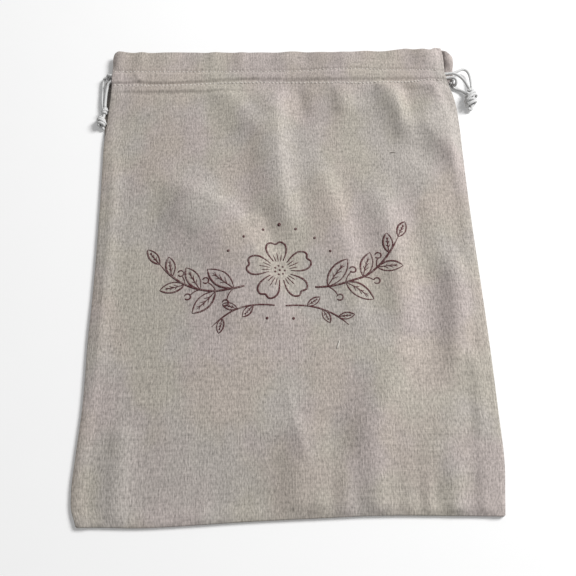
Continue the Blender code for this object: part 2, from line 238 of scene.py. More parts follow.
# Puckers that run up from the bottom seam: place along it, reach to each side, height and length
LOW_PUCKERS = mm(
    (-60, 6, 0.6, 20), (22, 6, 0.9, 22), (40, 6, 1.7, 30), (63, 8, 1.5, 32), (85, 5, 0.9, 22),
    (98, 4, 1.4, 26), (116, 8, 2.8, 42), (136, 5, 1.7, 44),
)
# The header's upright waves: place along it, reach to each side, height, and lean towards +X in
# each metre up
HEADER_WAVES = mm(
    (-140, 4, 0.6, 50), (-126, 5, 1.3, 100), (-108, 7, 0.4, 0), (-85, 6, -0.4, 100), (-60, 5, 1.2, 50),
    (-36, 5, 1.3, 50), (2, 10, 1.8, 100), (22, 6, -0.6, 0), (36, 6, 0.4, -100), (55, 6, 0.6, -100),
    (82, 8, -0.6, 0), (138, 19, 4.2, 30),
)
# The pucker that slants across the channel: middle, reach across and along, height, and lean
# towards +X in each metre up
CHANNEL_PUCKER = mm((-126.2, 174.5), 2.1, 6, 1, -600)
# The share of a fold over which its height grows and fades, and how finely its curve is followed
FOLD_FADE = 0.25
FOLD_STEPS = 12

# The cords' places in the channels
LOW_RUN = 0.1712
HIGH_RUN = 0.1762
RUN_END = 0.1408
CHANNEL_POINTS = 17
FRONT_CORD_LEVEL = 0.0084
BACK_CORD_LEVEL = 0.0027
CORD_SETTLE = 0.0016
SETTLE_END = 0.1505
SETTLE_RUN = 0.006
IN_FRONT = 0.0062
EASE_ROUNDS = 8

# The loose ends and turns of the cords beside the bag, each from one channel towards the next
LEFT_INNER_END = (
    (-0.1524, 0.1462, 0.0042), (-0.1527, 0.1505, 0.004), (-0.1526, 0.1565, 0.004),
    (-0.1522, 0.1632, 0.0046), (-0.1516, 0.1678, 0.0057), (-0.1505, 0.1705, 0.0073),
    (-0.1484, 0.1713, 0.0083), (-0.145, 0.1712, 0.0084),
)
LEFT_OUTER_END = (
    (-0.145, 0.1761, 0.0027), (-0.1486, 0.177, 0.0027), (-0.1512, 0.179, 0.0028),
    (-0.154, 0.1797, 0.0027), (-0.156, 0.178, 0.0025), (-0.1564, 0.1735, 0.0025),
    (-0.1562, 0.1668, 0.0025), (-0.1559, 0.159, 0.0026), (-0.1556, 0.1528, 0.0028),
    (-0.1548, 0.1478, 0.003),
)
RIGHT_TURN = (
    (0.14, 0.1685, 0.0108), (0.1435, 0.1688, 0.0107), (0.1466, 0.1691, 0.0107),
    (0.1492, 0.1688, 0.0103), (0.151, 0.1674, 0.0097), (0.1517, 0.1653, 0.009),
    (0.1511, 0.1634, 0.0078), (0.1503, 0.1624, 0.0062), (0.1495, 0.1631, 0.0049),
    (0.1494, 0.1655, 0.0042), (0.1495, 0.1692, 0.0037), (0.1486, 0.1728, 0.0031),
    (0.1458, 0.1741, 0.0028),
)
LEFT_TURN = (
    (-0.145, 0.1761, 0.0084), (-0.148, 0.1766, 0.0086), (-0.1505, 0.1777, 0.0083),
    (-0.1523, 0.1786, 0.0072), (-0.1528, 0.178, 0.0056), (-0.152, 0.176, 0.0042),
    (-0.1505, 0.1737, 0.0033), (-0.1484, 0.1717, 0.0028), (-0.145, 0.1712, 0.0027),
)
RIGHT_UPPER_END = (
    (0.14, 0.1729, 0.0108), (0.144, 0.1729, 0.0107), (0.1474, 0.1731, 0.0107), (0.1504, 0.1728, 0.0101),
    (0.1534, 0.1717, 0.0088), (0.1562, 0.17, 0.0077), (0.1586, 0.1674, 0.0068), (0.1605, 0.164, 0.0061),
    (0.162, 0.1602, 0.0057),
)
RIGHT_LOWER_END = (
    (0.159, 0.1572, 0.0028), (0.1562, 0.1604, 0.0018), (0.1532, 0.162, 0.0014),
    (0.1503, 0.1628, 0.0014), (0.1484, 0.1644, 0.0018), (0.1472, 0.1672, 0.0023),
    (0.1465, 0.1704, 0.0026), (0.1441, 0.1706, 0.0027),
)
RIGHT_TAIL = (
    (0.1644, 0.1612, 0.0047), (0.1648, 0.1655, 0.0043), (0.1649, 0.1702, 0.004),
    (0.1645, 0.1747, 0.004), (0.1634, 0.1786, 0.0042), (0.1615, 0.1809, 0.0046), (0.159, 0.1813, 0.005),
    (0.1563, 0.1797, 0.0058), (0.1535, 0.1776, 0.0064), (0.1508, 0.1762, 0.0066),
    (0.1482, 0.1757, 0.0066), (0.1456, 0.1756, 0.0066), (0.1428, 0.1756, 0.0066),
)

# The knots' wrapped turns: their middle, how wide and high the cord's middle goes round, their
# length along Y, how many turns there are, and how much they lean
LEFT_WRAPS = (
    ((-0.1525, 0.1421, 0.0038), 0.0018, 0.0018, 0.0046, 2.3, 0.5),
    ((-0.1544, 0.131, 0.0043), 0.003, 0.0027, 0.0082, 3.3, -0.35),
)
LEFT_STRANDS = (
    ((-0.1524, 0.1461, 0.0042), (-0.1525, 0.144, 0.0042),
     (-0.1526, 0.142, 0.004), (-0.153, 0.139, 0.0038)),
    ((-0.1548, 0.1477, 0.003), (-0.154, 0.145, 0.0034),
     (-0.153, 0.1425, 0.0036), (-0.153, 0.1395, 0.0034)),
    ((-0.1527, 0.141, 0.0036), (-0.153, 0.1375, 0.0036),
     (-0.1538, 0.1345, 0.0038), (-0.1542, 0.131, 0.0038)),
    ((-0.1534, 0.1405, 0.0034), (-0.1556, 0.1382, 0.0028),
     (-0.1566, 0.1356, 0.0026), (-0.1552, 0.1326, 0.0032)),
    ((-0.1541, 0.13, 0.0038), (-0.1536, 0.128, 0.0032),
     (-0.153, 0.1262, 0.0024), (-0.1525, 0.1246, 0.0017)),
)
RIGHT_WRAPS = (
    ((0.1624, 0.149, 0.0056), 0.0048, 0.0038, 0.015, 4.8, 0.62),
)
RIGHT_STRANDS = (
    ((0.162, 0.1601, 0.0057), (0.163, 0.1572, 0.0062), (0.1634, 0.154, 0.006), (0.1634, 0.15, 0.0056)),
    ((0.159, 0.1571, 0.0028), (0.1608, 0.155, 0.0034), (0.162, 0.1522, 0.004), (0.163, 0.1494, 0.0046)),
    ((0.1644, 0.1611, 0.0047), (0.1644, 0.1578, 0.0052),
     (0.164, 0.1545, 0.0052), (0.1636, 0.1508, 0.005)),
    ((0.163, 0.147, 0.005), (0.1627, 0.1432, 0.0042), (0.1622, 0.1406, 0.003), (0.1618, 0.1388, 0.002)),
    ((0.164, 0.1465, 0.0046), (0.1637, 0.1434, 0.0036), (0.163, 0.1412, 0.0026), (0.1624, 0.14, 0.002)),
)

# The printed design's middle line, and how far its ink stands above and reaches below the cloth
PRINT_MIDDLE = -0.004
INK_PROUD = 0.00010

# Loose fibres on the front: name, flat places along it, thickness and colour
FIBRES = (
    (
        "pale_fibre", mm((40.2, -69.8), (39.7, -71.8), (38.8, -74.2), (38.2, -76.8)),
        0.0011, (0.55, 0.52, 0.48),
    ),
    (
        "dark_fibre", mm((88.6, 94.2), (90.2, 94.5), (92, 94.4), (93.8, 94.1)),
        0.0007, (0.20, 0.175, 0.16),
    ),
)

# The camera, the large soft light and the floor
LENS = 50.0
SENSOR = 36.0
ELEVATION = math.radians(66.68)
AZIMUTH = math.radians(-0.71)
ROLL = math.radians(-0.20)
DISTANCE = 0.620
AIM = (0.0022, -0.0256, 0.005)
KEY_PLACE = (1.68, 0.93, 1.67)
KEY_SIZE = 1.1
FLOOR_HALF = 1.5

# Steps of the modelled cloth: over the channels, the headers and the hems, and how much wider the
# back's columns are
CASING_PITCH = {"front": 0.0008, "back": 0.0016}
HEADER_PITCH = 0.0018
HEM_PITCH = 0.0017
BACK_PITCH = 1.3
# Steps along the cords, the knots and the fibres, and corners round them and the stitches
CORD_STEP, CORD_SIDES = 0.0011, 16
KNOT_STEP, KNOT_SIDES = 0.0006, 14
FIBRE_STEP, FIBRE_SIDES = 0.0008, 10
STITCH_SIDES = 8
# One stitch's thickness along it, and how far in from the sides the rows start
STITCH_TAPER = (0.55, 0.85, 1.0, 1.0, 1.0, 0.85, 0.55)
STITCH_INSET = 0.0025

# How high the finishes' reliefs are, and how tightly the plait and the thread are twisted, in
# radians along each metre
LINEN_RELIEF = 0.00016
INK_RELIEF = 0.00014
COTTON_RELIEF = 0.00022
THREAD_RELIEF = 0.00005
PLAIT = 2600
THREAD_TWIST = 9000

# The sewn panels by side, which the stitches, the print and the fibres lie on
panels = {}


# --------------------------------------------------------------------------- settings


class BagClothSettings(PropertyGroup):
    """The linen's sizes and colour."""

    thickness: FloatProperty(
        name="Cloth Thickness", description="One layer of the linen",
        default=0.0006, min=0.0003, max=0.0010, unit="LENGTH")
    pitch: FloatProperty(
        name="Grid Pitch", description="How far apart the modelled points of the front's cloth are",
        default=0.0019, min=0.0018, max=0.006, unit="LENGTH")
    thread: FloatProperty(
        name="Thread Pitch", description="From one warp thread to the next",
        default=0.00062, min=0.0003, max=0.002, unit="LENGTH")
    colour: FloatVectorProperty(
        name="Linen", description="The linen's average colour",
        default=(0.388, 0.352, 0.324), size=3, min=0.0, max=1.0, subtype="COLOR")
    ripple: FloatProperty(
        name="Ripple", description="Height of the field's broad unevenness",
        default=0.0005, min=0.0, max=0.003, unit="LENGTH")
    seed: IntProperty(name="Seed", description="Picks the unevenness", default=3, min=0)


class BagStitchSettings(PropertyGroup):
    """The rows of stitches above and below the cords."""

    pitch: FloatProperty(
        name="Stitch Pitch", description="From one stitch to the next",
        default=0.0034, min=0.001, max=0.006, unit="LENGTH")
    length: FloatProperty(
        name="Stitch Length", description="What shows of one stitch",
        default=0.0019, min=0.0005, max=0.005, unit="LENGTH")
    thread: FloatProperty(
        name="Thread Thickness", description="Across the sewing thread",
        default=0.0011, min=0.0002, max=0.0015, unit="LENGTH")
    colour: FloatVectorProperty(
        name="Sewing Thread", description="The sewing thread's colour",
        default=(0.56, 0.525, 0.488), size=3, min=0.0, max=1.0, subtype="COLOR")


class BagCordSettings(PropertyGroup):
    """The two cotton drawcords."""

    diameter: FloatProperty(
        name="Cord Diameter", description="Across the cord",
        default=0.0024, min=0.001, max=0.006, unit="LENGTH")
    colour: FloatVectorProperty(
        name="Cotton", description="The cotton's colour",
        default=(0.65, 0.65, 0.645), size=3, min=0.0, max=1.0, subtype="COLOR")


class BagPrintSettings(PropertyGroup):
    """The flower and leafy branches printed on the front."""

    colour: FloatVectorProperty(
        name="Ink", description="The printing ink's colour",
        default=(0.082, 0.026, 0.029), size=3, min=0.0, max=1.0, subtype="COLOR")
    line: FloatProperty(
        name="Line Width", description="The widest part of a drawn line",
        default=0.0015, min=0.0004, max=0.003, unit="LENGTH")


class BagStageSettings(PropertyGroup):
    """The floor and the lights."""

    key: FloatProperty(
        name="Key Light", description="Power of the large soft light on the right",
        default=82.0, min=0.0, subtype="POWER")
    fill: FloatProperty(
        name="Surrounding Light", description="Strength of the even light all round",
        default=0.30, min=0.0)
    floor: FloatVectorProperty(
        name="Floor", description="The floor's colour",
        default=(0.76, 0.76, 0.76), size=3, min=0.0, max=1.0, subtype="COLOR")
    glow: FloatProperty(
        name="Floor Glow", description="How brightly the floor glows of its own",
        default=0.15, min=0.0, max=1.0)


# --------------------------------------------------------------------------- finishes


class Wire:
    """A number running between a finish's nodes, so that its maths reads as Python."""

    def __init__(self, finish, socket):
        self.finish = finish
        self.socket = socket

    def _math(self, operation, *values):
        return self.finish.node("ShaderNodeMath", {"operation": operation}, dict(enumerate(values)))

    def __add__(self, other):
        return self._math("ADD", self, other)

    __radd__ = __add__

    def __mul__(self, other):
        return self._math("MULTIPLY", self, other)

    __rmul__ = __mul__

    def __sub__(self, other):
        return self._math("SUBTRACT", self, other)

    def __rsub__(self, other):
        return self._math("SUBTRACT", other, self)

    def __truediv__(self, other):
        return self._math("DIVIDE", self, other)

    def __abs__(self):
        return self._math("ABSOLUTE", self)

    def __pow__(self, other):
        return self._math("POWER", self, other)

    def sine(self):
        return self._math("SINE", self)

    def floor(self):
        return self._math("FLOOR", self)

    def rise(self, low, high):
        """0 below low and 1 above high, with a soft start and end."""
        settings = {"interpolation_type": "SMOOTHSTEP"}
        values = {"Value": self, "From Min": low, "From Max": high}
        return self.finish.node("ShaderNodeMapRange", settings, values)


class Finish:
    """A material and its nodes."""

    def __init__(self, name, roughness, sheen=0.0, specular=0.3):
        self.material = bpy.data.materials.new(name)
        self.material.use_nodes = True
        self.tree = self.material.node_tree
        self.shader = self.tree.nodes["Principled BSDF"]
        self.shader.inputs["Roughness"].default_value = roughness
        self.shader.inputs["Sheen Weight"].default_value = sheen
        self.shader.inputs["Specular IOR Level"].default_value = specular

    def node(self, kind, settings=None, sockets=None, output=0):
        """Adds a node, its settings first and then its sockets' values and links."""
        node = self.tree.nodes.new(kind)
        for name, value in (settings or {}).items():
            setattr(node, name, value)
        for name, value in (sockets or {}).items():
            if isinstance(value, Wire):
                self.tree.links.new(value.socket, node.inputs[name])
            else:
                node.inputs[name].default_value = value
        return Wire(self, node.outputs[output])

    def split(self, place):
        """A place's X and Y."""
        return [self.node("ShaderNodeSeparateXYZ", None, {0: place}, axis) for axis in "XY"]

    def flat_places(self):
        """Where a point is on its piece laid flat: across or round it, and along it."""
        return self.split(self.node("ShaderNodeUVMap", {"uv_map": "flat"}))

    def grain(self, across, along, seed, detail=1.0):
        """Soft unevenness between 0 and 1, a new value for each step of 1 across or along."""
        moved = {"X": across + seed * 7.31, "Y": along + seed * 3.17}
        place = self.node("ShaderNodeCombineXYZ", None, moved)
        values = {"Vector": place, "Scale": 1.0, "Detail": detail, "Roughness": 0.5}
        return self.node("ShaderNodeTexNoise", {"noise_dimensions": "2D"}, values, "Fac")

    def each(self, number, seed):
        """A value between 0 and 1 of its own for each whole number."""
        values = {"W": number + seed * 11.7}
        return self.node("ShaderNodeTexWhiteNoise", {"noise_dimensions": "1D"}, values, "Value")

    def tint(self, colour, amount):
        """A colour made lighter or darker by a number."""
        values = {0: colour, "Scale": amount}
        return self.node("ShaderNodeVectorMath", {"operation": "SCALE"}, values)

    def mix(self, amount, first, second):
        """The first colour where the amount is 0 and the second where it is 1."""
        first, second = (c if isinstance(c, Wire) else (*c, 1.0) for c in (first, second))
        values = {0: amount, 6: first, 7: second}
        return self.node("ShaderNodeMix", {"data_type": "RGBA"}, values, 2)

    def paint(self, colour):
        self.tree.links.new(colour.socket, self.shader.inputs["Base Color"])

    def relief(self, height, depth):
        """Raises the surface by a height of 0 to 1 times depth, in metres."""
        values = {"Height": height, "Distance": depth, "Strength": 1.0}
        normal = self.node("ShaderNodeBump", None, values)
        self.tree.links.new(normal.socket, self.shader.inputs["Normal"])


def weave(finish, across, along, pitch):
    """A plain weave's height, and the tone of its threads around 0."""
    waver_across = finish.grain(across * 70, along * 25, 1)
    waver_along = finish.grain(across * 25, along * 60, 2)
    warp = across / pitch + (waver_across - 0.5) * 3.0
    weft = along / (pitch * 1.06) + (waver_along - 0.5) * 3.0
    warp_wave = (warp * math.pi).sine()
    weft_wave = (weft * math.pi).sine()
    over = warp_wave * weft_wave
    height = 0.5 * (abs(warp_wave) * (1 + over) + abs(weft_wave) * (1 - over))
    warp_tone = finish.each(warp.floor(), 1) - 0.5
    weft_tone = finish.each(weft.floor(), 2) - 0.5
    slub = finish.grain(warp.floor() * 5.3, along * 110, 3) - 0.5
    slub_along = finish.grain(across * 110, weft.floor() * 5.3, 4) - 0.5
    tone = warp_tone * 0.10 + weft_tone * 0.08 + slub * 0.30 + slub_along * 0.26
    return height, tone


def linen_finish(name, settings):
    """Unbleached linen: warm grey threads of uneven thickness and tone."""
    finish = Finish(name, roughness=0.92, sheen=0.06, specular=0.18)
    across, along = finish.flat_places()
    height, tone = weave(finish, across, along, settings.thread)
    streaks = finish.grain(across * 900, along * 130, 5) - 0.5
    fine = finish.grain(across * 950, along * 390, 6, 2.0) - 0.5
    ruddy = finish.grain(across * 15, along * 12, 7, 2.0).rise(0.38, 0.62)
    golden = finish.grain(across * 19, along * 15, 12, 2.0).rise(0.38, 0.62)
    clouds = finish.grain(across * 70, along * 45, 8, 2.0) - 0.5
    flecks = finish.grain(across * 620, along * 330, 9).rise(0.74, 0.84)
    specks = finish.grain(across * 480, along * 300, 10).rise(0.78, 0.86)
    slubs = finish.grain(across * 700, along * 90, 11).rise(0.62, 0.8)
    shade = 1 + tone * 0.9 + streaks * 0.40 + fine * 1.08 + clouds * 0.07
    # the weave's height is painted in as well: painted shade in the hollows between the threads and
    # painted highlight on their crowns
    shade = shade + (height - 0.5) * 0.16 + flecks * 0.16 - specks * 0.18
    red, green, blue = settings.colour
    cool, warm = (
        finish.mix(ruddy, (0.991 * red, 1.007 * green, b), (1.013 * red, 0.984 * green, b))
        for b in (1.010 * blue, 0.953 * blue)
    )
    finish.paint(finish.tint(finish.mix(golden, cool, warm), shade))
    finish.relief(height * 0.7 + streaks * 0.6 + fine * 0.5 + slubs * 0.5, LINEN_RELIEF)
    return finish.material


def ink_finish(name, settings, cloth):
    """Printing ink on linen, thinner on the crowns of the threads."""
    finish = Finish(name, roughness=0.85, sheen=0.03, specular=0.2)
    across, along = finish.flat_places()
    height, tone = weave(finish, across, along, cloth.thread)
    wear = finish.grain(across * 900, along * 600, 21, 2.0)
    patches = finish.grain(across * 160, along * 120, 22)
    thin = (height * 0.35 + wear * 0.75 + patches * 0.35 + tone).rise(0.74, 1.02)
    worn = tuple(0.55 * ink + 0.45 * base for ink, base in zip(settings.colour, cloth.colour))
    finish.paint(finish.mix(thin, settings.colour, worn))
    finish.relief(height * 0.7 + wear * 0.4, INK_RELIEF)
    return finish.material


def cotton_finish(name, colour):
    """White plaited cotton, with painted shade in the grooves between its strands."""
    finish = Finish(name, roughness=0.85, sheen=0.15, specular=0.25)
    around, along = finish.flat_places()
    right, left = ((around * (2 * math.pi) + along * lay).sine() for lay in (PLAIT, -PLAIT))
    strands = abs(right * left) ** 0.5
    fibres = finish.grain(around * 26, along * 2600, 31, 2.0)
    # painted shade: the cotton is painted darker in the grooves between the strands
    groove = (1 - strands).rise(0.35, 1.0)
    soft = tuple(value * 0.62 for value in colour)
    finish.paint(finish.tint(finish.mix(groove * 0.55, colour, soft), 0.93 + fibres * 0.14))
    finish.relief(strands * 0.8 + fibres * 0.35, COTTON_RELIEF)
    return finish.material


def thread_finish(name, colour):
    """Pale sewing thread of two twisted plies."""
    finish = Finish(name, roughness=0.8, sheen=0.1, specular=0.3)
    around, along = finish.flat_places()
    plies = (around * (4 * math.pi) + along * THREAD_TWIST).sine()
    fibres = finish.grain(around * 9, along * 5000, 41)
    # the plies are painted lighter on their crowns and darker between them: painted highlight and
    # painted shade
    finish.paint(finish.tint(colour, 0.92 + plies * 0.06 + fibres * 0.08))
    finish.relief(plies * 0.5 + fibres * 0.4, THREAD_RELIEF)
    return finish.material


def floor_finish(name, colour, glow):
    """A plain pale floor that glows a little, which keeps the shadows on it pale."""
    finish = Finish(name, roughness=0.7, specular=0.2)
    finish.shader.inputs["Emission Color"].default_value = (1.0, 1.0, 1.0, 1.0)
    finish.shader.inputs["Emission Strength"].default_value = glow
    across, along = finish.split(finish.node("ShaderNodeNewGeometry", None, None, "Position"))
    finish.paint(finish.tint(colour, 0.995 + finish.grain(across * 30, along * 30, 51, 2.0) * 0.01))
    return finish.material


# --------------------------------------------------------------------------- shapes


def smooth(value):
    """0 up to 0, 1 from 1 on, with a soft start and end."""
    value = np.clip(value, 0.0, 1.0)
    return value * value * (3.0 - 2.0 * value)


def hill(distance):
    """1 at a crest, falling off softly on both sides."""
    return np.exp(-(distance**2))


def read(table, places):
    """A table's values at places, on a smooth curve through its rows."""
    marks, values = np.array(table).T
    slopes = np.gradient(values, marks)
    places = np.clip(places, marks[0], marks[-1])
    row = np.clip(np.searchsorted(marks, places) - 1, 0, len(marks) - 2)
    run = marks[row + 1] - marks[row]
    t = (places - marks[row]) / run
    from_start = values[row] * (1 + 2 * t) + slopes[row] * run * t
    from_end = values[row + 1] * (3 - 2 * t) - slopes[row + 1] * run * (1 - t)
    return from_start * (1 - t) ** 2 + from_end * t**2


def unevenness(x, y, cell_x, cell_y, seed):
    """Smooth seeded heights of about -1 to 1, with hills the size of a cell."""
    lattice = np.random.default_rng(seed).uniform(-1.6, 1.6, (48, 48))
    u = x / cell_x + 24
    v = y / cell_y + 24
    cell_u = np.floor(u).astype(int)
    cell_v = np.floor(v).astype(int)

    def weights(t):
        return (
            (1 - t) ** 3 / 6,
            (3 * t**3 - 6 * t**2 + 4) / 6,
            (-3 * t**3 + 3 * t**2 + 3 * t + 1) / 6,
            t**3 / 6,
        )

    total = np.zeros(np.broadcast(x, y).shape)
    for i, weight_u in enumerate(weights(u - cell_u)):
        for j, weight_v in enumerate(weights(v - cell_v)):
            heights = lattice[(cell_u + i) % 48, (cell_v + j) % 48]
            total = total + weight_u * weight_v * heights
    return total


def mouth_lift(x):
    """How far the front's channel and header stand off the back's: open towards the right."""
    rise = MOUTH_LIFT * smooth(x / MOUTH_FULL)
    fall = (MOUTH_LIFT - MOUTH_EDGE_LIFT) * smooth((x - MOUTH_CLOSING) / MOUTH_CLOSING_RUN)
    return rise - fall


def fold_heights(x, y):
    """The height that the folds add at places on the front."""
    total = np.zeros(np.broadcast(x, y).shape)
    for start, middle, end, left, right, height in FOLDS:
        # a curve whose three points are start, middle and end
        a, m, b = (np.array(corner) for corner in (start, middle, end))
        pull = 2 * m - (a + b) / 2
        steps = np.linspace(0, 1, FOLD_STEPS + 1)[:, None]
        line = a * (1 - steps) ** 2 + 2 * pull * steps * (1 - steps) + b * steps**2
        nearest = np.full(total.shape, np.inf)
        along = np.zeros(total.shape)
        side = np.zeros(total.shape)
        for step, (p, q) in enumerate(zip(line, line[1:])):
            run = q - p
            share = ((x - p[0]) * run[0] + (y - p[1]) * run[1]) / (run @ run)
            share = np.clip(share, 0, 1)
            off_x = x - p[0] - share * run[0]
            off_y = y - p[1] - share * run[1]
            distance = np.hypot(off_x, off_y)
            closer = distance < nearest
            nearest = np.where(closer, distance, nearest)
            along = np.where(closer, (step + share) / FOLD_STEPS, along)
            side = np.where(closer, np.sign(off_x), side)
        reach = np.where(side < 0, left, right)
        ends = smooth(along / FOLD_FADE) * smooth((1 - along) / FOLD_FADE)
        total = total + height * ends * hill(nearest / reach)
    return total


def between(value, start, full, end, gone):
    """0 before start, 1 from full to end, and 0 again once gone."""
    return smooth((value - start) / (full - start)) * smooth((gone - value) / (gone - end))


def side_inset(x):
    """How far in from the nearer side."""
    return HALF - np.abs(x)


def held_in(x, y, run):
    """0 at the side and bottom seams, 1 from a run further in."""
    return smooth(side_inset(x) / run) * smooth((y - BOTTOM) / run)


def edge_layers(x):
    """1 over the turned-in side allowances, 0 further in."""
    return smooth((ALLOWANCE + 0.002 - side_inset(x)) / 0.002)


def front_hem(x, y):
    """The middle of the front's hem, which sags a little under the cords."""
    sag = HEM_SAG * between(y, *HEM_SAG_SPAN)
    return HEM_LEVEL - sag + mouth_lift(x) + frill(x, y) * 0.8 - left_droop(x, y)


def left_droop(x, y):
    """How far the left-hand end of the front's header droops towards the back's."""
    run_x, run_y = LEFT_DROOP_RUN
    return LEFT_DROOP * (1 - smooth((x + HALF) / run_x)) * smooth((y - LEFT_DROOP_START) / run_y)


def frill(x, y):
    """The header's soft upright waves, which die out at the channel."""
    waves = FRILL * unevenness(x, y, 0.0085, 0.060, 61)
    for place, reach, height, lean in HEADER_WAVES:
        waves = waves + height * hill((x - place - lean * (y - WAVE_LEVEL)) / reach)
    return waves * smooth((y - WAVE_START) / WAVE_RUN) * smooth(side_inset(x) / SEAM_HOLD)


def front_field(x, y, ripple, seed):
    """The middle of the front's cloth between the seams, without the channel or the folds."""
    inset, low = side_inset(x), y - BOTTOM
    run = np.where(x < 0, CROWN_LEFT, CROWN_RIGHT)
    crown = smooth((inset + CROWN_EDGE) / run) * smooth((low + CROWN_EDGE) / CROWN_LOW)
    level = SEAM_LEVEL + (FIELD_LEVEL - SEAM_LEVEL) * crown
    # the turned-in allowances lift the cloth beside the seams
    wear = 0.8 + 0.3 * unevenness(x, y, 0.05, 0.03, seed + 10)
    ridge = np.maximum(between(inset, *EDGE_RIDGE), 0.5 * between(low, *EDGE_RIDGE))
    level = level + EDGE_RIDGE_HEIGHT * wear * ridge
    broad = unevenness(x, y, 0.026, 0.045, seed) + 0.5 * unevenness(x, y, 0.013, 0.028, seed + 1)
    level = level + ripple * held_in(x, y, SEAM_HOLD) * broad
    # puckers that run in from the bottom and side seams
    puckers = LOW_PUCKER * unevenness(x, y, 0.0062, 0.040, seed + 2)
    puckers = puckers * np.exp(-low / LOW_PUCKER_FADE)
    side = SIDE_PUCKER * unevenness(x, y, 0.030, 0.0075, seed + 3)
    side = side * np.exp(-inset / SIDE_PUCKER_FADE)
    for place, reach, height, length in LOW_PUCKERS:
        puckers = puckers + height * hill((x - place) / reach) * hill((low - 0.006) / length)
    return level + held_in(x, y, PUCKER_HOLD) * (puckers + side)


def front_outer(x, y, ripple, seed):
    """The middle of the front's outer layer, with the folds, the channel and the header."""
    lift = mouth_lift(x)
    field = front_field(x, y, ripple, seed)
    open_side = smooth(side_inset(x) / MOUTH_SIDE_RUN)
    field = field + open_side * lift * smooth((y - LOWER_STITCHES + MOUTH_FADE) / MOUTH_FADE)
    share = smooth((y - CASING_RISE) / (SEAM_TOP - CASING_RISE))
    level = field * (1 - share) + (CASING_LEVEL + lift) * share
    # the right-hand seam curls down below the channel
    level = level - CURL_DROP * between(y, *CURL_SPAN) * smooth(1 - (HALF - x) / CURL_REACH)
    # folds and gathers, held down at the seams and the lower stitches
    hold = np.where(x < 0.08, STITCH_HOLD_LEFT, STITCH_HOLD_RIGHT)
    free = smooth((LOWER_STITCHES + 0.001 - y) / hold)
    gathers = unevenness(x, y, 0.0075, 0.060, seed + 4)
    gathers = gathers + 0.6 * unevenness(x, y, 0.015, 0.060, seed + 5)
    gathers = GATHERS * gathers * np.exp(-np.clip(LOWER_STITCHES - y, 0, None) / GATHERS_FADE)
    level = level + held_in(x, y, SEAM_HOLD) * free * (fold_heights(x, y) + gathers)
    # the hem's turned end lifts the cloth below the lower stitches
    strength = 0.15 + 0.85 * between(x, *HEM_STEP_SPAN)
    strength = strength + 0.25 * unevenness(x, y, 0.020, 0.050, seed + 6)
    step = smooth((y - HEM_STEP_START) / 0.0028) * smooth((LOWER_STITCHES + 0.0002 - y) / 0.0034)
    level = level + HEM_STEP * strength * step
    # over the cords
    uneven = 1 + 0.10 * unevenness(x, y, 0.011, 0.050, seed + 7)
    crease = read(CREASE, x) * uneven
    soft = 0.0026 + 0.0016 * smooth((x + 0.04) / 0.06)
    bulge = smooth((y - CORD_RISE - crease) / soft) * smooth((CORD_FALL - y) / 0.0036)
    level = level + (OVER_CORDS - CASING_LEVEL) * uneven * bulge
    (place_x, place_y), reach, length, height, lean = CHANNEL_PUCKER
    off_y = y - place_y
    level = level + height * hill((x - place_x - lean * off_y) / reach) * hill(off_y / length)
    # the header, above the groove of the upper stitches
    header = smooth((y - UPPER_STITCHES - 0.0002) / 0.0022)
    level = level + (HEADER_LEVEL - CASING_LEVEL) * header
    level = level + frill(x, y) - left_droop(x, y)
    return level + LAYER * edge_layers(x) * smooth((y - 0.150) / 0.012)


def back_hem(x, y):
    """The middle of the back's hem."""
    bulge = smooth((y - CORD_RISE) / CORD_RISE_RUN) * smooth((CORD_FALL - y) / CORD_FALL_RUN)
    level = BACK_LEVEL + LAYER * (1 + edge_layers(x))
    return level + (BACK_OVER_CORDS - level) * bulge + corner_lift(x, y)


def corner_lift(x, y):
    """How far the right-hand end of the back's header curls up off the surface."""
    (place_x, place_y), (run_x, run_y) = BACK_CORNER, BACK_CORNER_RUN
    # its very end bends down again by a third
    rise = smooth((x - place_x) / run_x) * (1 - 0.35 * smooth((x - 0.1455) / 0.004))
    return BACK_CORNER_LIFT * rise * smooth((y - place_y) / run_y)


def outline_shift(side, x, y):
    """How far the uneven outline moves places of the plain rectangle."""
    front = side == "front"
    left = smooth(1 - (x + HALF) / EDGE_REACH)
    right = smooth(1 - (HALF - x) / EDGE_REACH)
    low = smooth(1 - (y - BOTTOM) / EDGE_REACH)
    high = smooth(1 - (TOP - y) / TOP_REACH)
    across = left * read(LEFT_EDGE, y)
    across = across + right * read(FRONT_RIGHT_EDGE if front else BACK_RIGHT_EDGE, y)
    if not front:
        across = across + left * read(BACK_LEFT_SHOWS, y)
    along = low * read(BOTTOM_EDGE, x) + high * read(TOP_EDGE, x)
    # the upper stitches run closer to the lower ones towards the right
    along = along - 0.0016 * smooth((x - 0.060) / 0.060) * hill((y - UPPER_STITCHES) / 0.0045)
    trim = smooth((y - TRIM_START) / (TOP - TRIM_START))
    return across, along + trim * read(FRONT_TRIM if front else BACK_TRIM, x)


def stations(start, end, pitch):
    """Places from start to end, both kept, about a pitch apart."""
    return np.linspace(start, end, max(2, round((end - start) / pitch) + 1))


def new_piece(name, points, faces, maps, material):
    """A piece of the bag from its points, its faces and maps of its faces' corners."""
    mesh = bpy.data.meshes.new(name)
    mesh.from_pydata(points, [], faces)
    for map_name, places in maps.items():
        layer = mesh.uv_layers.new(name=map_name)
        layer.uv.foreach_set("vector", np.array(places, np.float32).ravel())
    mesh.shade_smooth()
    mesh.materials.append(material)
    piece = bpy.data.objects.new(name, mesh)
    bpy.context.scene.collection.objects.link(piece)
    return piece


# The parts of a panel along Y, from its turned-in bottom to its hem
ALLOWANCE_PART, OUTER_PART, TOP_PART, HEM_PART = range(4)


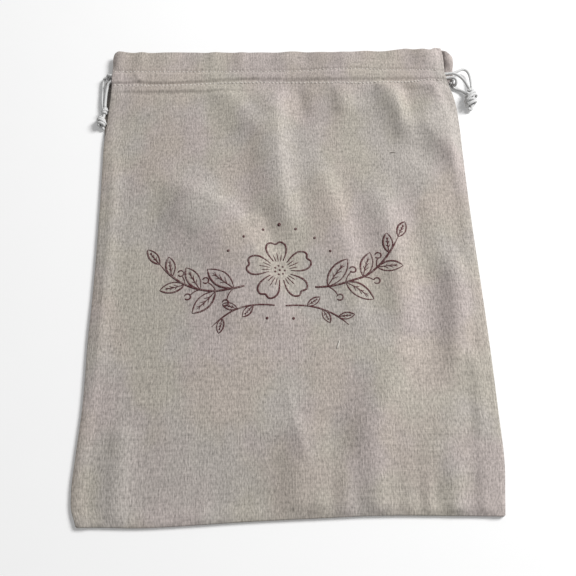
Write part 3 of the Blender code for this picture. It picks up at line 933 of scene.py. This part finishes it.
class Sewn:
    """One panel of cloth folded as it is sewn, as a grid of points in the middle of the cloth."""

    TURN_STEPS = 4
    # the turned-in allowances lie this much clear of the folds beside them
    CLEAR = 0.0008

    def __init__(self, side, settings, pitch):
        self.front = side == "front"
        self.side = side
        self.thickness = settings.thickness
        self.settings = settings
        self.fold = fold = HALF - TURN - self.thickness / 2
        self.low_fold = low_fold = BOTTOM + TURN + self.thickness / 2
        top_radius = LAYER if self.front else LAYER / 2
        self.high_fold = high_fold = TOP - top_radius - self.thickness / 2
        # the outer layer, in finer steps over the channel
        self.main_x = stations(-fold, fold, pitch)
        self.main_y = np.concatenate([
            stations(low_fold, CASING_START, pitch),
            stations(CASING_START, CASING_END, CASING_PITCH[side])[1:],
            stations(CASING_END, high_fold, HEADER_PITCH)[1:],
        ])
        # columns and rows: place, outward shift, drop, depth, side or part, and cloth used
        turned = self.turned_edge(TURN, (0.003, 0.0055, ALLOWANCE))
        left = [(-fold, out, drop, depth, -1, arc) for out, drop, depth, arc in reversed(turned)]
        right = [(fold, out, drop, depth, 1, arc) for out, drop, depth, arc in turned]
        across = left + [(x, 0.0, 0.0, 0.0, 0, 0.0) for x in self.main_x] + right
        self.first_x = len(left)
        bottom = [
            (low_fold, out, drop, depth, ALLOWANCE_PART, arc)
            for out, drop, depth, arc in reversed(turned)
        ]
        self.first_y = len(bottom)
        *top, last = (
            (high_fold, out, drop, depth, TOP_PART, arc)
            for out, drop, depth, arc in self.turned_edge(top_radius)
        )
        arc = last[-1]
        hem = [
            (y, 0.0, 0.0, 0.0, HEM_PART, arc + high_fold - y)
            for y in stations(HEM_END, high_fold, HEM_PITCH)[::-1]
        ]
        outer = [(y, 0.0, 0.0, 0.0, OUTER_PART, 0.0) for y in self.main_y]
        self.build(np.array(across), np.array(bottom + outer + top + hem))

    def turned_edge(self, radius, depths=()):
        """Past a fold line: outward shift, drop, depth behind the panel and length of cloth used."""
        rows = []
        for step in range(1, self.TURN_STEPS + 1):
            angle = math.pi * step / self.TURN_STEPS
            out = radius * math.sin(angle)
            rows.append((out, radius * (1 - math.cos(angle)), 0.0, radius * angle))
        for depth in depths:
            rows.append((-depth, 2 * radius, depth, math.pi * radius + depth))
        return rows

    def height(self, hem, x, y):
        """The middle of the cloth of one layer."""
        if not self.front:
            return np.where(hem, back_hem(x, y), BACK_LEVEL + corner_lift(x, y))
        settings = self.settings
        return np.where(hem, front_hem(x, y), front_outer(x, y, settings.ripple, settings.seed))

    def build(self, across, along):
        """Sets the middle of the cloth, its flat places, the way it faces, and what of it is kept."""
        x, out_x, drop_x, depth_x, edge, arc_x = (row[:, None] for row in across.T)
        y, out_y, drop_y, depth_y, part, arc_y = (row[None, :] for row in along.T)
        edge_out = edge * out_x
        # the side allowances end at the top fold, and all three are mitred at the lower corners
        outside = (part != OUTER_PART) | (depth_x > y - self.low_fold + 1e-6)
        keep = ~((edge != 0) & outside)
        keep &= ~((part == ALLOWANCE_PART) & (depth_y > self.fold - np.abs(x) + 1e-6))
        deep_x = depth_x > 0
        deep_y = depth_y > 0
        place_x = np.where(deep_x, x + edge_out, x)
        place_y = np.where(deep_x, np.maximum(y, self.low_fold + depth_x + self.CLEAR), y)
        reach = self.fold - depth_y - self.CLEAR
        place_x = np.where(deep_y, np.clip(place_x, -reach, reach), place_x)
        place_y = np.where(deep_y, place_y - out_y, place_y)
        height = self.height(part == HEM_PART, place_x, place_y)
        shift_x, shift_y = outline_shift(self.side, place_x, place_y)
        shift_x = shift_x + np.where(deep_x, 0.0, edge_out)
        outward = np.where(part == ALLOWANCE_PART, -out_y, out_y)
        shift_y = shift_y + np.where(deep_y, 0.0, outward)
        # the front's folds turn down and the back's turn up, each towards the other panel
        toward = -1.0 if self.front else 1.0
        rise = toward * (drop_x + drop_y)
        self.middle = np.stack([place_x + shift_x, place_y + shift_y, height + rise], axis=-1)
        self.keep = np.broadcast_to(keep, self.middle.shape[:2])
        flat_y = y + np.where(part == ALLOWANCE_PART, -arc_y, 0.0)
        flat_y = np.where(part >= TOP_PART, self.high_fold + arc_y, flat_y)
        self.flat = np.stack(np.broadcast_arrays(x + edge * arc_x, flat_y), axis=-1)
        normal = np.cross(np.gradient(self.middle, axis=0), np.gradient(self.middle, axis=1))
        size = np.linalg.norm(normal, axis=-1, keepdims=True)
        self.normal = np.where(size > 1e-12, normal / np.maximum(size, 1e-12), (0.0, 0.0, 1.0))

    def at(self, x, y, lift):
        """Points a lift above the cloth's outer face at flat places of the panel."""
        i = np.clip(np.searchsorted(self.main_x, x) - 1, 0, len(self.main_x) - 2)
        j = np.clip(np.searchsorted(self.main_y, y) - 1, 0, len(self.main_y) - 2)
        s = ((x - self.main_x[i]) / (self.main_x[i + 1] - self.main_x[i]))[..., None]
        t = ((y - self.main_y[j]) / (self.main_y[j + 1] - self.main_y[j]))[..., None]
        i = i + self.first_x
        j = j + self.first_y

        def blend(grid):
            low = grid[i, j] * (1 - s) + grid[i + 1, j] * s
            high = grid[i, j + 1] * (1 - s) + grid[i + 1, j + 1] * s
            return low * (1 - t) + high * t

        normal = blend(self.normal)
        normal = normal / np.linalg.norm(normal, axis=-1, keepdims=True)
        outward = 0.5 if self.front else -0.5
        surface = blend(self.middle + self.normal * self.thickness * outward)
        return surface + normal * lift

    def make(self, name, material):
        """The cloth as one closed body, with its flat places and its places on a picture as maps."""
        number = np.arange(self.keep.size).reshape(self.keep.shape)
        whole = self.keep[:-1, :-1] & self.keep[1:, :-1] & self.keep[1:, 1:] & self.keep[:-1, 1:]
        corners = (number[:-1, :-1], number[1:, :-1], number[1:, 1:], number[:-1, 1:])
        quads = np.stack([corner[whole] for corner in corners], axis=-1)
        # the rim is made of the edges that only one quad has
        edges = np.concatenate([quads[:, [k, (k + 1) % 4]] for k in range(4)])
        keys = np.sort(edges, axis=1)
        _, first, uses = np.unique(keys, axis=0, return_index=True, return_counts=True)
        rim = edges[first[uses == 1]]
        used = np.unique(quads)
        order = np.full(number.size, -1)
        order[used] = np.arange(len(used))
        quads, rim = order[quads], order[rim]
        count = len(used)
        middle = self.middle.reshape(-1, 3)[used]
        normal = self.normal.reshape(-1, 3)[used] * self.thickness / 2
        flat = self.flat.reshape(-1, 2)[used]
        sides = np.stack([rim[:, 1], rim[:, 0], rim[:, 0] + count, rim[:, 1] + count], axis=-1)
        faces = np.concatenate([quads, quads[:, ::-1] + count, sides])
        maps = {
            "flat": np.concatenate([flat, flat])[faces],
            "OFBake": self.bake_places(flat, quads, len(rim)),
        }
        points = np.concatenate([middle + normal, middle - normal])
        return new_piece(name, points.tolist(), faces.tolist(), maps, material)

    def bake_places(self, flat, quads, rim_count):
        """Each face's corners on a picture: the outer face wide, the inner one narrow, then the rim."""
        low, high = flat.min(axis=0), flat.max(axis=0)
        share = (flat - low) / (high - low)
        wide = share * (0.66, 1.0)
        narrow = share * (0.30, 1.0) + (0.67, 0.0)
        upper, lower = (wide, narrow) if self.front else (narrow, wide)
        steps = np.arange(rim_count)[:, None] / rim_count
        across = np.broadcast_to((0.98, 0.98, 1.0, 1.0), (rim_count, 4))
        along = steps + np.array((0.0, 1.0, 1.0, 0.0)) / rim_count
        rim = np.stack([across, along], axis=-1)
        return np.concatenate([upper[quads], lower[quads[:, ::-1]], rim])


def smooth_line(route, step):
    """Points about a step apart on a smooth curve through a route's own points."""
    points = np.array(route)
    ends = np.concatenate([[2 * points[0] - points[1]], points, [2 * points[-1] - points[-2]]])
    line = []
    for before, start, end, after in zip(ends, ends[1:], ends[2:], ends[3:]):
        length = np.linalg.norm(end - start)
        leave = (end - before) / np.linalg.norm(end - before) * length
        arrive = (after - start) / np.linalg.norm(after - start) * length
        count = max(1, round(length / step))
        t = (np.arange(count) / count)[:, None]
        line.append(
            start * (1 + 2 * t) * (1 - t) ** 2
            + leave * t * (1 - t) ** 2
            + end * t**2 * (3 - 2 * t)
            - arrive * t**2 * (1 - t)
        )
    line.append(points[-1:])
    return np.concatenate(line)


def distances(line):
    """How far along a line each of its points is."""
    return np.concatenate([[0], np.cumsum(np.linalg.norm(np.diff(line, axis=0), axis=1))])


def tube(line, radii, sides):
    """A closed tube's points, faces and flat places: share of the way round, then metres along."""
    line = np.array(line)
    radii = np.broadcast_to(radii, len(line))
    tangents = np.gradient(line, axis=0)
    tangents /= np.linalg.norm(tangents, axis=1)[:, None]
    across = np.cross(tangents[0], (0.0, 0.0, 1.0))
    if np.linalg.norm(across) < 1e-3:
        across = np.array((1.0, 0.0, 0.0))
    rings = []
    angles = np.arange(sides) / sides * 2 * math.pi
    for centre, tangent, radius in zip(line, tangents, radii):
        across = across - tangent * (across @ tangent)
        across = across / np.linalg.norm(across)
        up = np.cross(across, tangent)
        ring = np.cos(angles)[:, None] * across + np.sin(angles)[:, None] * up
        rings.append(centre + ring * radius)
    points = np.concatenate(rings)
    steps = distances(line)
    faces, places = [], []
    for ring in range(len(line) - 1):
        for side in range(sides):
            after = (side + 1) % sides
            first, second = ring * sides, (ring + 1) * sides
            faces.append((first + side, first + after, second + after, second + side))
            low, high = side / sides, (side + 1) / sides
            near, far = steps[ring], steps[ring + 1]
            places += [(low, near), (high, near), (high, far), (low, far)]
    for ring, turn in ((0, -1), (len(line) - 1, 1)):
        around = range(sides)[::turn]
        faces.append(tuple(ring * sides + side for side in around))
        places += [(side / sides, steps[ring]) for side in around]
    return points, faces, places


def join_shapes(name, shapes, material):
    """One piece from several closed shapes."""
    points, faces, places = [], [], []
    for shape_points, shape_faces, shape_places in shapes:
        start = len(points)
        points += [tuple(point) for point in shape_points]
        faces += [tuple(start + corner for corner in face) for face in shape_faces]
        places += shape_places
    return new_piece(name, points, faces, {"flat": places}, material)


def rounded(line, radius, cap=0.6):
    """Radii along a line that close both of its ends softly."""
    steps = distances(line)
    inset = np.minimum(steps, steps[-1] - steps)
    share = np.clip(inset / (radius * cap), 0.0, 1.0)
    return radius * np.maximum(np.sqrt(1 - (1 - share) ** 2), 0.08)


def channel_run(side, y, start, end):
    """Points of a cord in a panel's channel, from one end to the other."""
    x = np.linspace(start, end, CHANNEL_POINTS)
    shift_x, shift_y = outline_shift(side, x, np.full_like(x, y))
    level = BACK_CORD_LEVEL
    if side == "front":
        level = FRONT_CORD_LEVEL + mouth_lift(x)
        share = (UPPER_STITCHES - y) / (UPPER_STITCHES - LOWER_STITCHES)
        shift_y = shift_y + share * read(CREASE, x)
    return np.stack([x + shift_x, y + shift_y, np.broadcast_to(level, x.shape)], axis=-1)


def settle(line):
    """Lets the cord sink into the front's channel, between its two layers, and eases its bends."""
    share = smooth((SETTLE_END - np.abs(line[:, 0])) / SETTLE_RUN) * (line[:, 2] > IN_FRONT)
    line = line.copy()
    line[:, 2] -= CORD_SETTLE * share
    for _ in range(EASE_ROUNDS):
        line[1:-1] = (line[:-2] + 2 * line[1:-1] + line[2:]) / 4
    return line


def way(angle):
    """The flat direction of an angle, or of each of many."""
    return np.stack([np.cos(angle), np.sin(angle)], axis=-1)


def heading(line, k):
    """The angle at which a line passes its point k."""
    run = line[k + 1] - line[k - 1]
    return math.atan2(run[1], run[0])


def arc_line(start, end, bow, step=0.0012):
    """A curved line from start to end that bows to its left by a share of its length."""
    start, end = np.array(start), np.array(end)
    run = end - start
    aside = np.array((-run[1], run[0]))
    count = max(5, round(float(np.hypot(*run)) / step) + 1)
    t = np.linspace(0, 1, count)[:, None]
    return start + run * t + aside * bow * 4 * t * (1 - t)


def tapered(line, width, start=0.35, end=0.35):
    """A drawn line's widths: full in the middle and narrower at its ends."""
    t = np.linspace(0, 1, len(line))
    return line, width * np.minimum(np.minimum(start + 5 * t, end + 5 * (1 - t)), 1.0)


def leaf(foot, angle, length, width, line):
    """An outlined leaf with a midrib and three pairs of veins."""
    forward = length * way(angle)
    aside = way(angle + math.pi / 2)
    drawn = []
    for side, weight in ((1, 1.0), (-1, 0.7)):
        outline = arc_line(foot, foot + forward, side * width / length / 2)
        drawn.append(tapered(outline, line * weight))
    drawn.append(tapered(arc_line(foot, foot + forward * 0.80, 0.02), line * 0.6, 0.6, 0.3))
    for place in (0.25, 0.43, 0.60):
        for side in (1, -1):
            root = foot + forward * place
            end = root + forward * 0.17 + side * aside * width * 0.30 * (1.1 - place)
            drawn.append(tapered(arc_line(root, end, -0.08 * side), line * 0.45, 0.6, 0.3))
    return drawn


def berry(centre, radius, line):
    """A small ring with a short highlight left open."""
    ring = centre + radius * way(np.linspace(-2.6, 2.9, 19))
    return tapered(ring, line * 0.8, 0.5, 0.5)


def dot(centre, size):
    """A filled dot: a line as short as it is wide."""
    t = np.linspace(-1, 1, 9)
    line = np.array(centre) + np.stack([t, np.zeros_like(t)], axis=-1) * size / 2
    return line, size * np.sqrt(np.maximum(1 - t**2, 0.04))


def bloom(centre, radius, line):
    """A five-petalled flower: notched petals, a ring of dots and short rays."""
    centre = np.array(centre)
    drawn = []
    for petal in range(5):
        middle = math.radians(90 + 72 * petal + 8)
        t = np.linspace(-1, 1, 33)
        angle = middle + t * math.radians(34) * (1 - 0.25 * np.abs(t) ** 6)
        reach = radius * (0.34 + 0.66 * (1 - np.abs(t) ** 3.2)) - 0.08 * radius * hill(t / 0.16)
        drawn.append(tapered(centre + reach[:, None] * way(angle), line, 0.5, 0.5))
        for spread, far in ((-13, 0.54), (0, 0.62), (13, 0.54)):
            ray = radius * way(middle + math.radians(spread))
            drawn.append(tapered(arc_line(centre + 0.30 * ray, centre + far * ray, 0.0), line * 0.5))
    for number in range(7):
        drawn.append(dot(centre + radius * 0.15 * way(2 * math.pi / 7 * number), line * 1.15))
    drawn.append(dot(centre, line * 1.3))
    return drawn


def branch(side, line):
    """One leafy branch with berries, to the right of the flower for a side of 1."""
    start = (PRINT_MIDDLE + side * 0.027, -0.026)
    end = (PRINT_MIDDLE + side * 0.094, 0.006 + 0.010 * side)
    stem = arc_line(start, end, -0.17 * side)
    drawn = [tapered(stem, line * 1.15, 0.8, 0.3)]
    for number, share in enumerate((0.10, 0.28, 0.46, 0.64, 0.82)):
        k = round(share * (len(stem) - 1))
        angle = heading(stem, k)
        size = 0.0275 - 0.0025 * number
        turn = math.radians(50 - 3 * number) * (-1) ** number * side
        drawn += leaf(stem[k], angle + turn, size, size * 0.42, line)
        if number < 4:
            stalk, aside = size * 0.40, way(angle - turn)
            drawn.append(tapered(arc_line(stem[k], stem[k] + stalk * aside, 0.1 * side), line * 0.6))
            drawn.append(berry(stem[k] + (stalk + 0.0022) * aside, 0.0024, line))
    return drawn + leaf(stem[-1], heading(stem, -2), 0.017, 0.0068, line)


def under_branch(side, line):
    """A short branch with small leaves below the flower, and dots above and below it."""
    start = (PRINT_MIDDLE + side * 0.004, -0.042)
    stem = arc_line(start, (PRINT_MIDDLE + side * 0.052, -0.058), 0.13 * side)
    drawn = [tapered(stem, line * 0.9, 0.8, 0.3)]
    for share, turn in ((0.30, 42), (0.55, -42), (0.80, 42)):
        k = round(share * (len(stem) - 1))
        angle = heading(stem, k) + math.radians(turn)
        drawn += leaf(stem[k], angle, 0.0125, 0.0052, line * 0.8)
    for off_x, y in ((0.013, 0.024), (0.028, 0.016), (0.040, 0.004), (0.010, -0.052)):
        drawn.append(dot((PRINT_MIDDLE + side * off_x, y), line * 1.5))
    return drawn


def spray(line):
    """The printed design's drawn lines: a flower between two leafy branches, with berries."""
    drawn = bloom((PRINT_MIDDLE, -0.012), 0.026, line)
    for part in (branch, under_branch):
        for side in (-1, 1):
            drawn += part(side, line)
    drawn.append(dot((PRINT_MIDDLE, 0.028), line * 1.9))
    return drawn


def wrapped(centre, across, high, length, turns, lean):
    """The line of a knot's turns round its own strands, fullest in the middle."""
    t = np.linspace(-1, 1, round(turns * 28))
    angle = math.pi * turns * t
    swell = np.sqrt(1 - 0.6 * t**2) * (1 + 0.10 * np.sin(0.43 * angle + 1))
    x = across * swell * np.cos(angle)
    y = length / 2 * t + lean * x * (1 + 0.5 * np.sin(0.31 * angle))
    return np.array(centre) + np.stack([x, y, high * swell * np.sin(angle)], axis=-1)


# --------------------------------------------------------------------------- operators


class BAG_OT_stage(Operator):
    """Make the camera, the lights and the floor"""

    bl_idname = "bag.stage"
    bl_label = "Camera, Lights and Floor"

    def execute(self, context):
        scene = context.scene
        settings = scene.bag_stage
        scene.view_settings.view_transform = "Standard"
        self.camera(scene)
        self.lights(scene, settings)
        self.floor(scene, settings)
        return {"FINISHED"}

    def camera(self, scene):
        data = bpy.data.cameras.new("camera")
        data.lens = LENS
        data.sensor_width = SENSOR
        data.clip_start = 0.01
        camera = bpy.data.objects.new("camera", data)
        camera.matrix_world = (
            Matrix.Translation(AIM)
            @ Matrix.Rotation(AZIMUTH, 4, "Z")
            @ Matrix.Rotation(math.pi / 2 - ELEVATION, 4, "X")
            @ Matrix.Rotation(ROLL, 4, "Z")
            @ Matrix.Translation((0.0, 0.0, DISTANCE))
        )
        scene.collection.objects.link(camera)
        scene.camera = camera

    def lights(self, scene, settings):
        world = bpy.data.worlds.new("studio")
        world.use_nodes = True
        surround = world.node_tree.nodes["Background"]
        surround.inputs["Color"].default_value = (1.0, 1.0, 1.0, 1.0)
        surround.inputs["Strength"].default_value = settings.fill
        scene.world = world
        data = bpy.data.lights.new("key", "AREA")
        data.shape = "DISK"
        data.size = KEY_SIZE
        data.energy = settings.key
        key = bpy.data.objects.new("key", data)
        key.location = KEY_PLACE
        key.rotation_euler = Vector(KEY_PLACE).to_track_quat("Z", "Y").to_euler()
        scene.collection.objects.link(key)

    def floor(self, scene, settings):
        mesh = bpy.data.meshes.new("floor")
        signs = ((-1, -1), (1, -1), (1, 1), (-1, 1))
        corners = [(FLOOR_HALF * x, FLOOR_HALF * y, 0.0) for x, y in signs]
        mesh.from_pydata(corners, [], [(0, 1, 2, 3)])
        mesh.materials.append(floor_finish("pale_floor", tuple(settings.floor), settings.glow))
        floor = bpy.data.objects.new("floor", mesh)
        scene.collection.objects.link(floor)


class BAG_OT_knots(Operator):
    """Make the knot in each drawcord's two ends"""

    bl_idname = "bag.knots"
    bl_label = "Knots"

    def execute(self, context):
        settings = context.scene.bag_cord
        radius = settings.diameter / 2
        cotton = cotton_finish("plaited_cotton", tuple(settings.colour))
        knots = (("left", LEFT_WRAPS, LEFT_STRANDS), ("right", RIGHT_WRAPS, RIGHT_STRANDS))
        for side, wraps, strands in knots:
            shapes = []
            for wrap in wraps:
                line = wrapped(*wrap)
                shapes.append(tube(line, rounded(line, radius), KNOT_SIDES))
            for route in strands:
                line = smooth_line(route, KNOT_STEP)
                radii = rounded(line, radius)
                # the strand's start meets the cord's cut end at its full thickness
                radii = np.where(np.arange(len(line)) < len(line) / 2, radius, radii)
                shapes.append(tube(line, radii, KNOT_SIDES))
            knot = join_shapes(f"{side}_knot", shapes, cotton)
            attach(knot, "root")
            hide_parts(f"knot_{side}")
        return {"FINISHED"}


class BAG_OT_cords(Operator):
    """Make the two drawcords and the right cord's tail"""

    bl_idname = "bag.cords"
    bl_label = "Drawcords"

    def execute(self, context):
        settings = context.scene.bag_cord
        cotton = bpy.data.materials["plaited_cotton"]
        left = np.concatenate([
            LEFT_INNER_END,
            channel_run("front", LOW_RUN, -RUN_END, RUN_END),
            RIGHT_TURN,
            channel_run("back", HIGH_RUN, RUN_END, -RUN_END),
            LEFT_OUTER_END,
        ])
        right = np.concatenate([
            RIGHT_LOWER_END,
            channel_run("back", LOW_RUN, RUN_END, -RUN_END),
            LEFT_TURN[::-1],
            channel_run("front", HIGH_RUN, -RUN_END, RUN_END),
            RIGHT_UPPER_END,
        ])
        rows = (
            ("left_drawcord", left, "drawcord_left", LEFT_INNER_END[6], "knot", ["left_knot"]),
            ("right_drawcord", right, "drawcord_right", RIGHT_LOWER_END[4], "knot", ["right_knot"]),
            ("right_drawcord_tail", RIGHT_TAIL, "drawcord_right_tail", RIGHT_TAIL[0], "object", []),
        )
        for name, route, node, leaves, far_end, ends in rows:
            line = settle(smooth_line(route, CORD_STEP))
            cord = join_shapes(name, [tube(line, settings.diameter / 2, CORD_SIDES)], cotton)
            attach(cord, "root")
            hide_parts(node)
        return {"FINISHED"}


class BAG_OT_panels(Operator):
    """Make the front and the back, each one sheet folded as it is sewn"""

    bl_idname = "bag.panels"
    bl_label = "Front and Back"

    def execute(self, context):
        settings = context.scene.bag_cloth
        linen = linen_finish("unbleached_linen", settings)
        for side, pitch in (("front", settings.pitch), ("back", BACK_PITCH * settings.pitch)):
            sewn = Sewn(side, settings, pitch)
            cloth = sewn.make(f"{side}_cloth", linen)
            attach(cloth, "root")
            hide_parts(f"{side}_panel")
            panels[side] = sewn
        return {"FINISHED"}


class BAG_OT_stitches(Operator):
    """Make the rows of stitches above and below the cords"""

    bl_idname = "bag.stitches"
    bl_label = "Stitches"

    def execute(self, context):
        settings = context.scene.bag_stitch
        thread = thread_finish("sewing_thread", tuple(settings.colour))
        for side in ("front", "back"):
            shapes = []
            for row, line_y in enumerate((LOWER_STITCHES, UPPER_STITCHES)):
                shapes += self.row(panels[side], settings, line_y, 70 + row)
            piece = join_shapes(f"{side}_stitches", shapes, thread)
            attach(piece, "root")
        return {"FINISHED"}

    def row(self, sewn, settings, line_y, seed):
        """One row of single stitches across a panel, pulled flat where they face the surface."""
        chance = np.random.default_rng(seed)
        low = line_y == LOWER_STITCHES
        # how far below the cloth's face, in threads, then the radius, and which way is below
        if sewn.front:
            sunk, thick, inward = -0.20 if low else 0.04, settings.thread / 2, -1.0
        else:
            sunk, thick, inward = 0.16, settings.thread / 2 * 0.45, 1.0
        shapes = []
        for middle in np.arange(-HALF + STITCH_INSET, HALF - STITCH_INSET, settings.pitch):
            half = settings.length / 2 * chance.uniform(0.85, 1.15)
            drift = chance.uniform(-0.0002, 0.0002)
            slant = chance.uniform(0.0002, 0.0007) if low else chance.uniform(-0.0002, 0.0002)
            deeper = chance.uniform(-0.04, 0.16 if sewn.front else 0.04)
            shares = np.linspace(-1, 1, len(STITCH_TAPER))
            x = middle + shares * half
            y = line_y + drift + shares * slant
            if low and sewn.front:
                y = y + read(STITCH_DRIFT, x)
            lift = inward * settings.thread * (sunk + deeper + 0.75 * np.abs(shares) ** 3)
            points = sewn.at(x, y, lift[:, None])
            shapes.append(tube(points, thick * np.array(STITCH_TAPER), STITCH_SIDES))
        return shapes


class BAG_OT_print(Operator):
    """Make the flower and leafy branches printed on the front"""

    bl_idname = "bag.print"
    bl_label = "Printed Spray"

    def execute(self, context):
        settings = context.scene.bag_print
        ink = ink_finish("maroon_ink", settings, context.scene.bag_cloth)
        shapes = []
        for line, width in spray(settings.line):
            shapes.append(self.ribbon(panels["front"], line, width))
        piece = join_shapes("front_print", shapes, ink)
        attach(piece, "root")
        return {"FINISHED"}

    def ribbon(self, sewn, line, width):
        """A drawn line as a closed thin strip that lies on the cloth."""
        run = np.gradient(line, axis=0)
        run = run / np.linalg.norm(run, axis=1)[:, None]
        aside = np.stack([-run[:, 1], run[:, 0]], axis=-1) * width[:, None] / 2
        flats = np.concatenate([line + sign * aside for sign in (1, -1, -1, 1)])
        lifts = np.repeat((INK_PROUD, INK_PROUD, -INK_PROUD, -INK_PROUD), len(line))
        points = sewn.at(flats[:, 0], flats[:, 1], lifts[:, None])
        count = len(line)
        faces = []
        for side in range(4):
            first, second = side * count, (side + 1) % 4 * count
            for k in range(count - 1):
                faces.append((first + k, second + k, second + k + 1, first + k + 1))
        faces.append((0, 3 * count, 2 * count, count))
        last = count - 1
        faces.append((last, count + last, 2 * count + last, 3 * count + last))
        places = [tuple(flats[corner]) for face in faces for corner in face]
        return points, faces, places


class BAG_OT_fibres(Operator):
    """Make the two short loose fibres that lie on the front"""

    bl_idname = "bag.fibres"
    bl_label = "Loose Fibres"

    def execute(self, context):
        for name, route, thickness, colour in FIBRES:
            flat = smooth_line(route, FIBRE_STEP)
            points = panels["front"].at(flat[:, 0], flat[:, 1], 0.2 * thickness)
            strand = tube(points, rounded(points, thickness / 2, 2.5), FIBRE_SIDES)
            fibre = join_shapes(name, [strand], thread_finish(name, colour))
            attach(fibre, "root")
        return {"FINISHED"}


class BAG_PT_sidebar(Panel):
    """The bag's pieces and settings"""

    bl_idname = "BAG_PT_sidebar"
    bl_label = "Linen Bag"
    bl_space_type = "VIEW_3D"
    bl_region_type = "UI"
    bl_category = "Bag"

    def draw(self, context):
        layout = self.layout
        for group, settings_class in SETTINGS.items():
            box = layout.box()
            box.label(text=settings_class.__doc__)
            for name in settings_class.__annotations__:
                box.prop(getattr(context.scene, group), name)
        for operator in OPERATORS:
            layout.operator(operator.bl_idname)


SETTINGS = {
    "bag_cloth": BagClothSettings,
    "bag_stitch": BagStitchSettings,
    "bag_cord": BagCordSettings,
    "bag_print": BagPrintSettings,
    "bag_stage": BagStageSettings,
}
OPERATORS = (
    BAG_OT_stage,
    BAG_OT_knots,
    BAG_OT_cords,
    BAG_OT_panels,
    BAG_OT_stitches,
    BAG_OT_print,
    BAG_OT_fibres,
)


def register():
    for name, settings_class in SETTINGS.items():
        bpy.utils.register_class(settings_class)
        setattr(bpy.types.Scene, name, PointerProperty(type=settings_class))
    for operator in OPERATORS:
        bpy.utils.register_class(operator)
    bpy.utils.register_class(BAG_PT_sidebar)


def unregister():
    bpy.utils.unregister_class(BAG_PT_sidebar)
    for operator in reversed(OPERATORS):
        bpy.utils.unregister_class(operator)
    for name, settings_class in reversed(SETTINGS.items()):
        delattr(bpy.types.Scene, name)
        bpy.utils.unregister_class(settings_class)


def main():
    register()
    bpy.ops.bag.stage()
    bpy.ops.bag.knots()
    bpy.ops.bag.cords()
    bpy.ops.bag.panels()
    bpy.ops.bag.stitches()
    bpy.ops.bag.print()
    bpy.ops.bag.fibres()


if __name__ == "__main__":
    main()
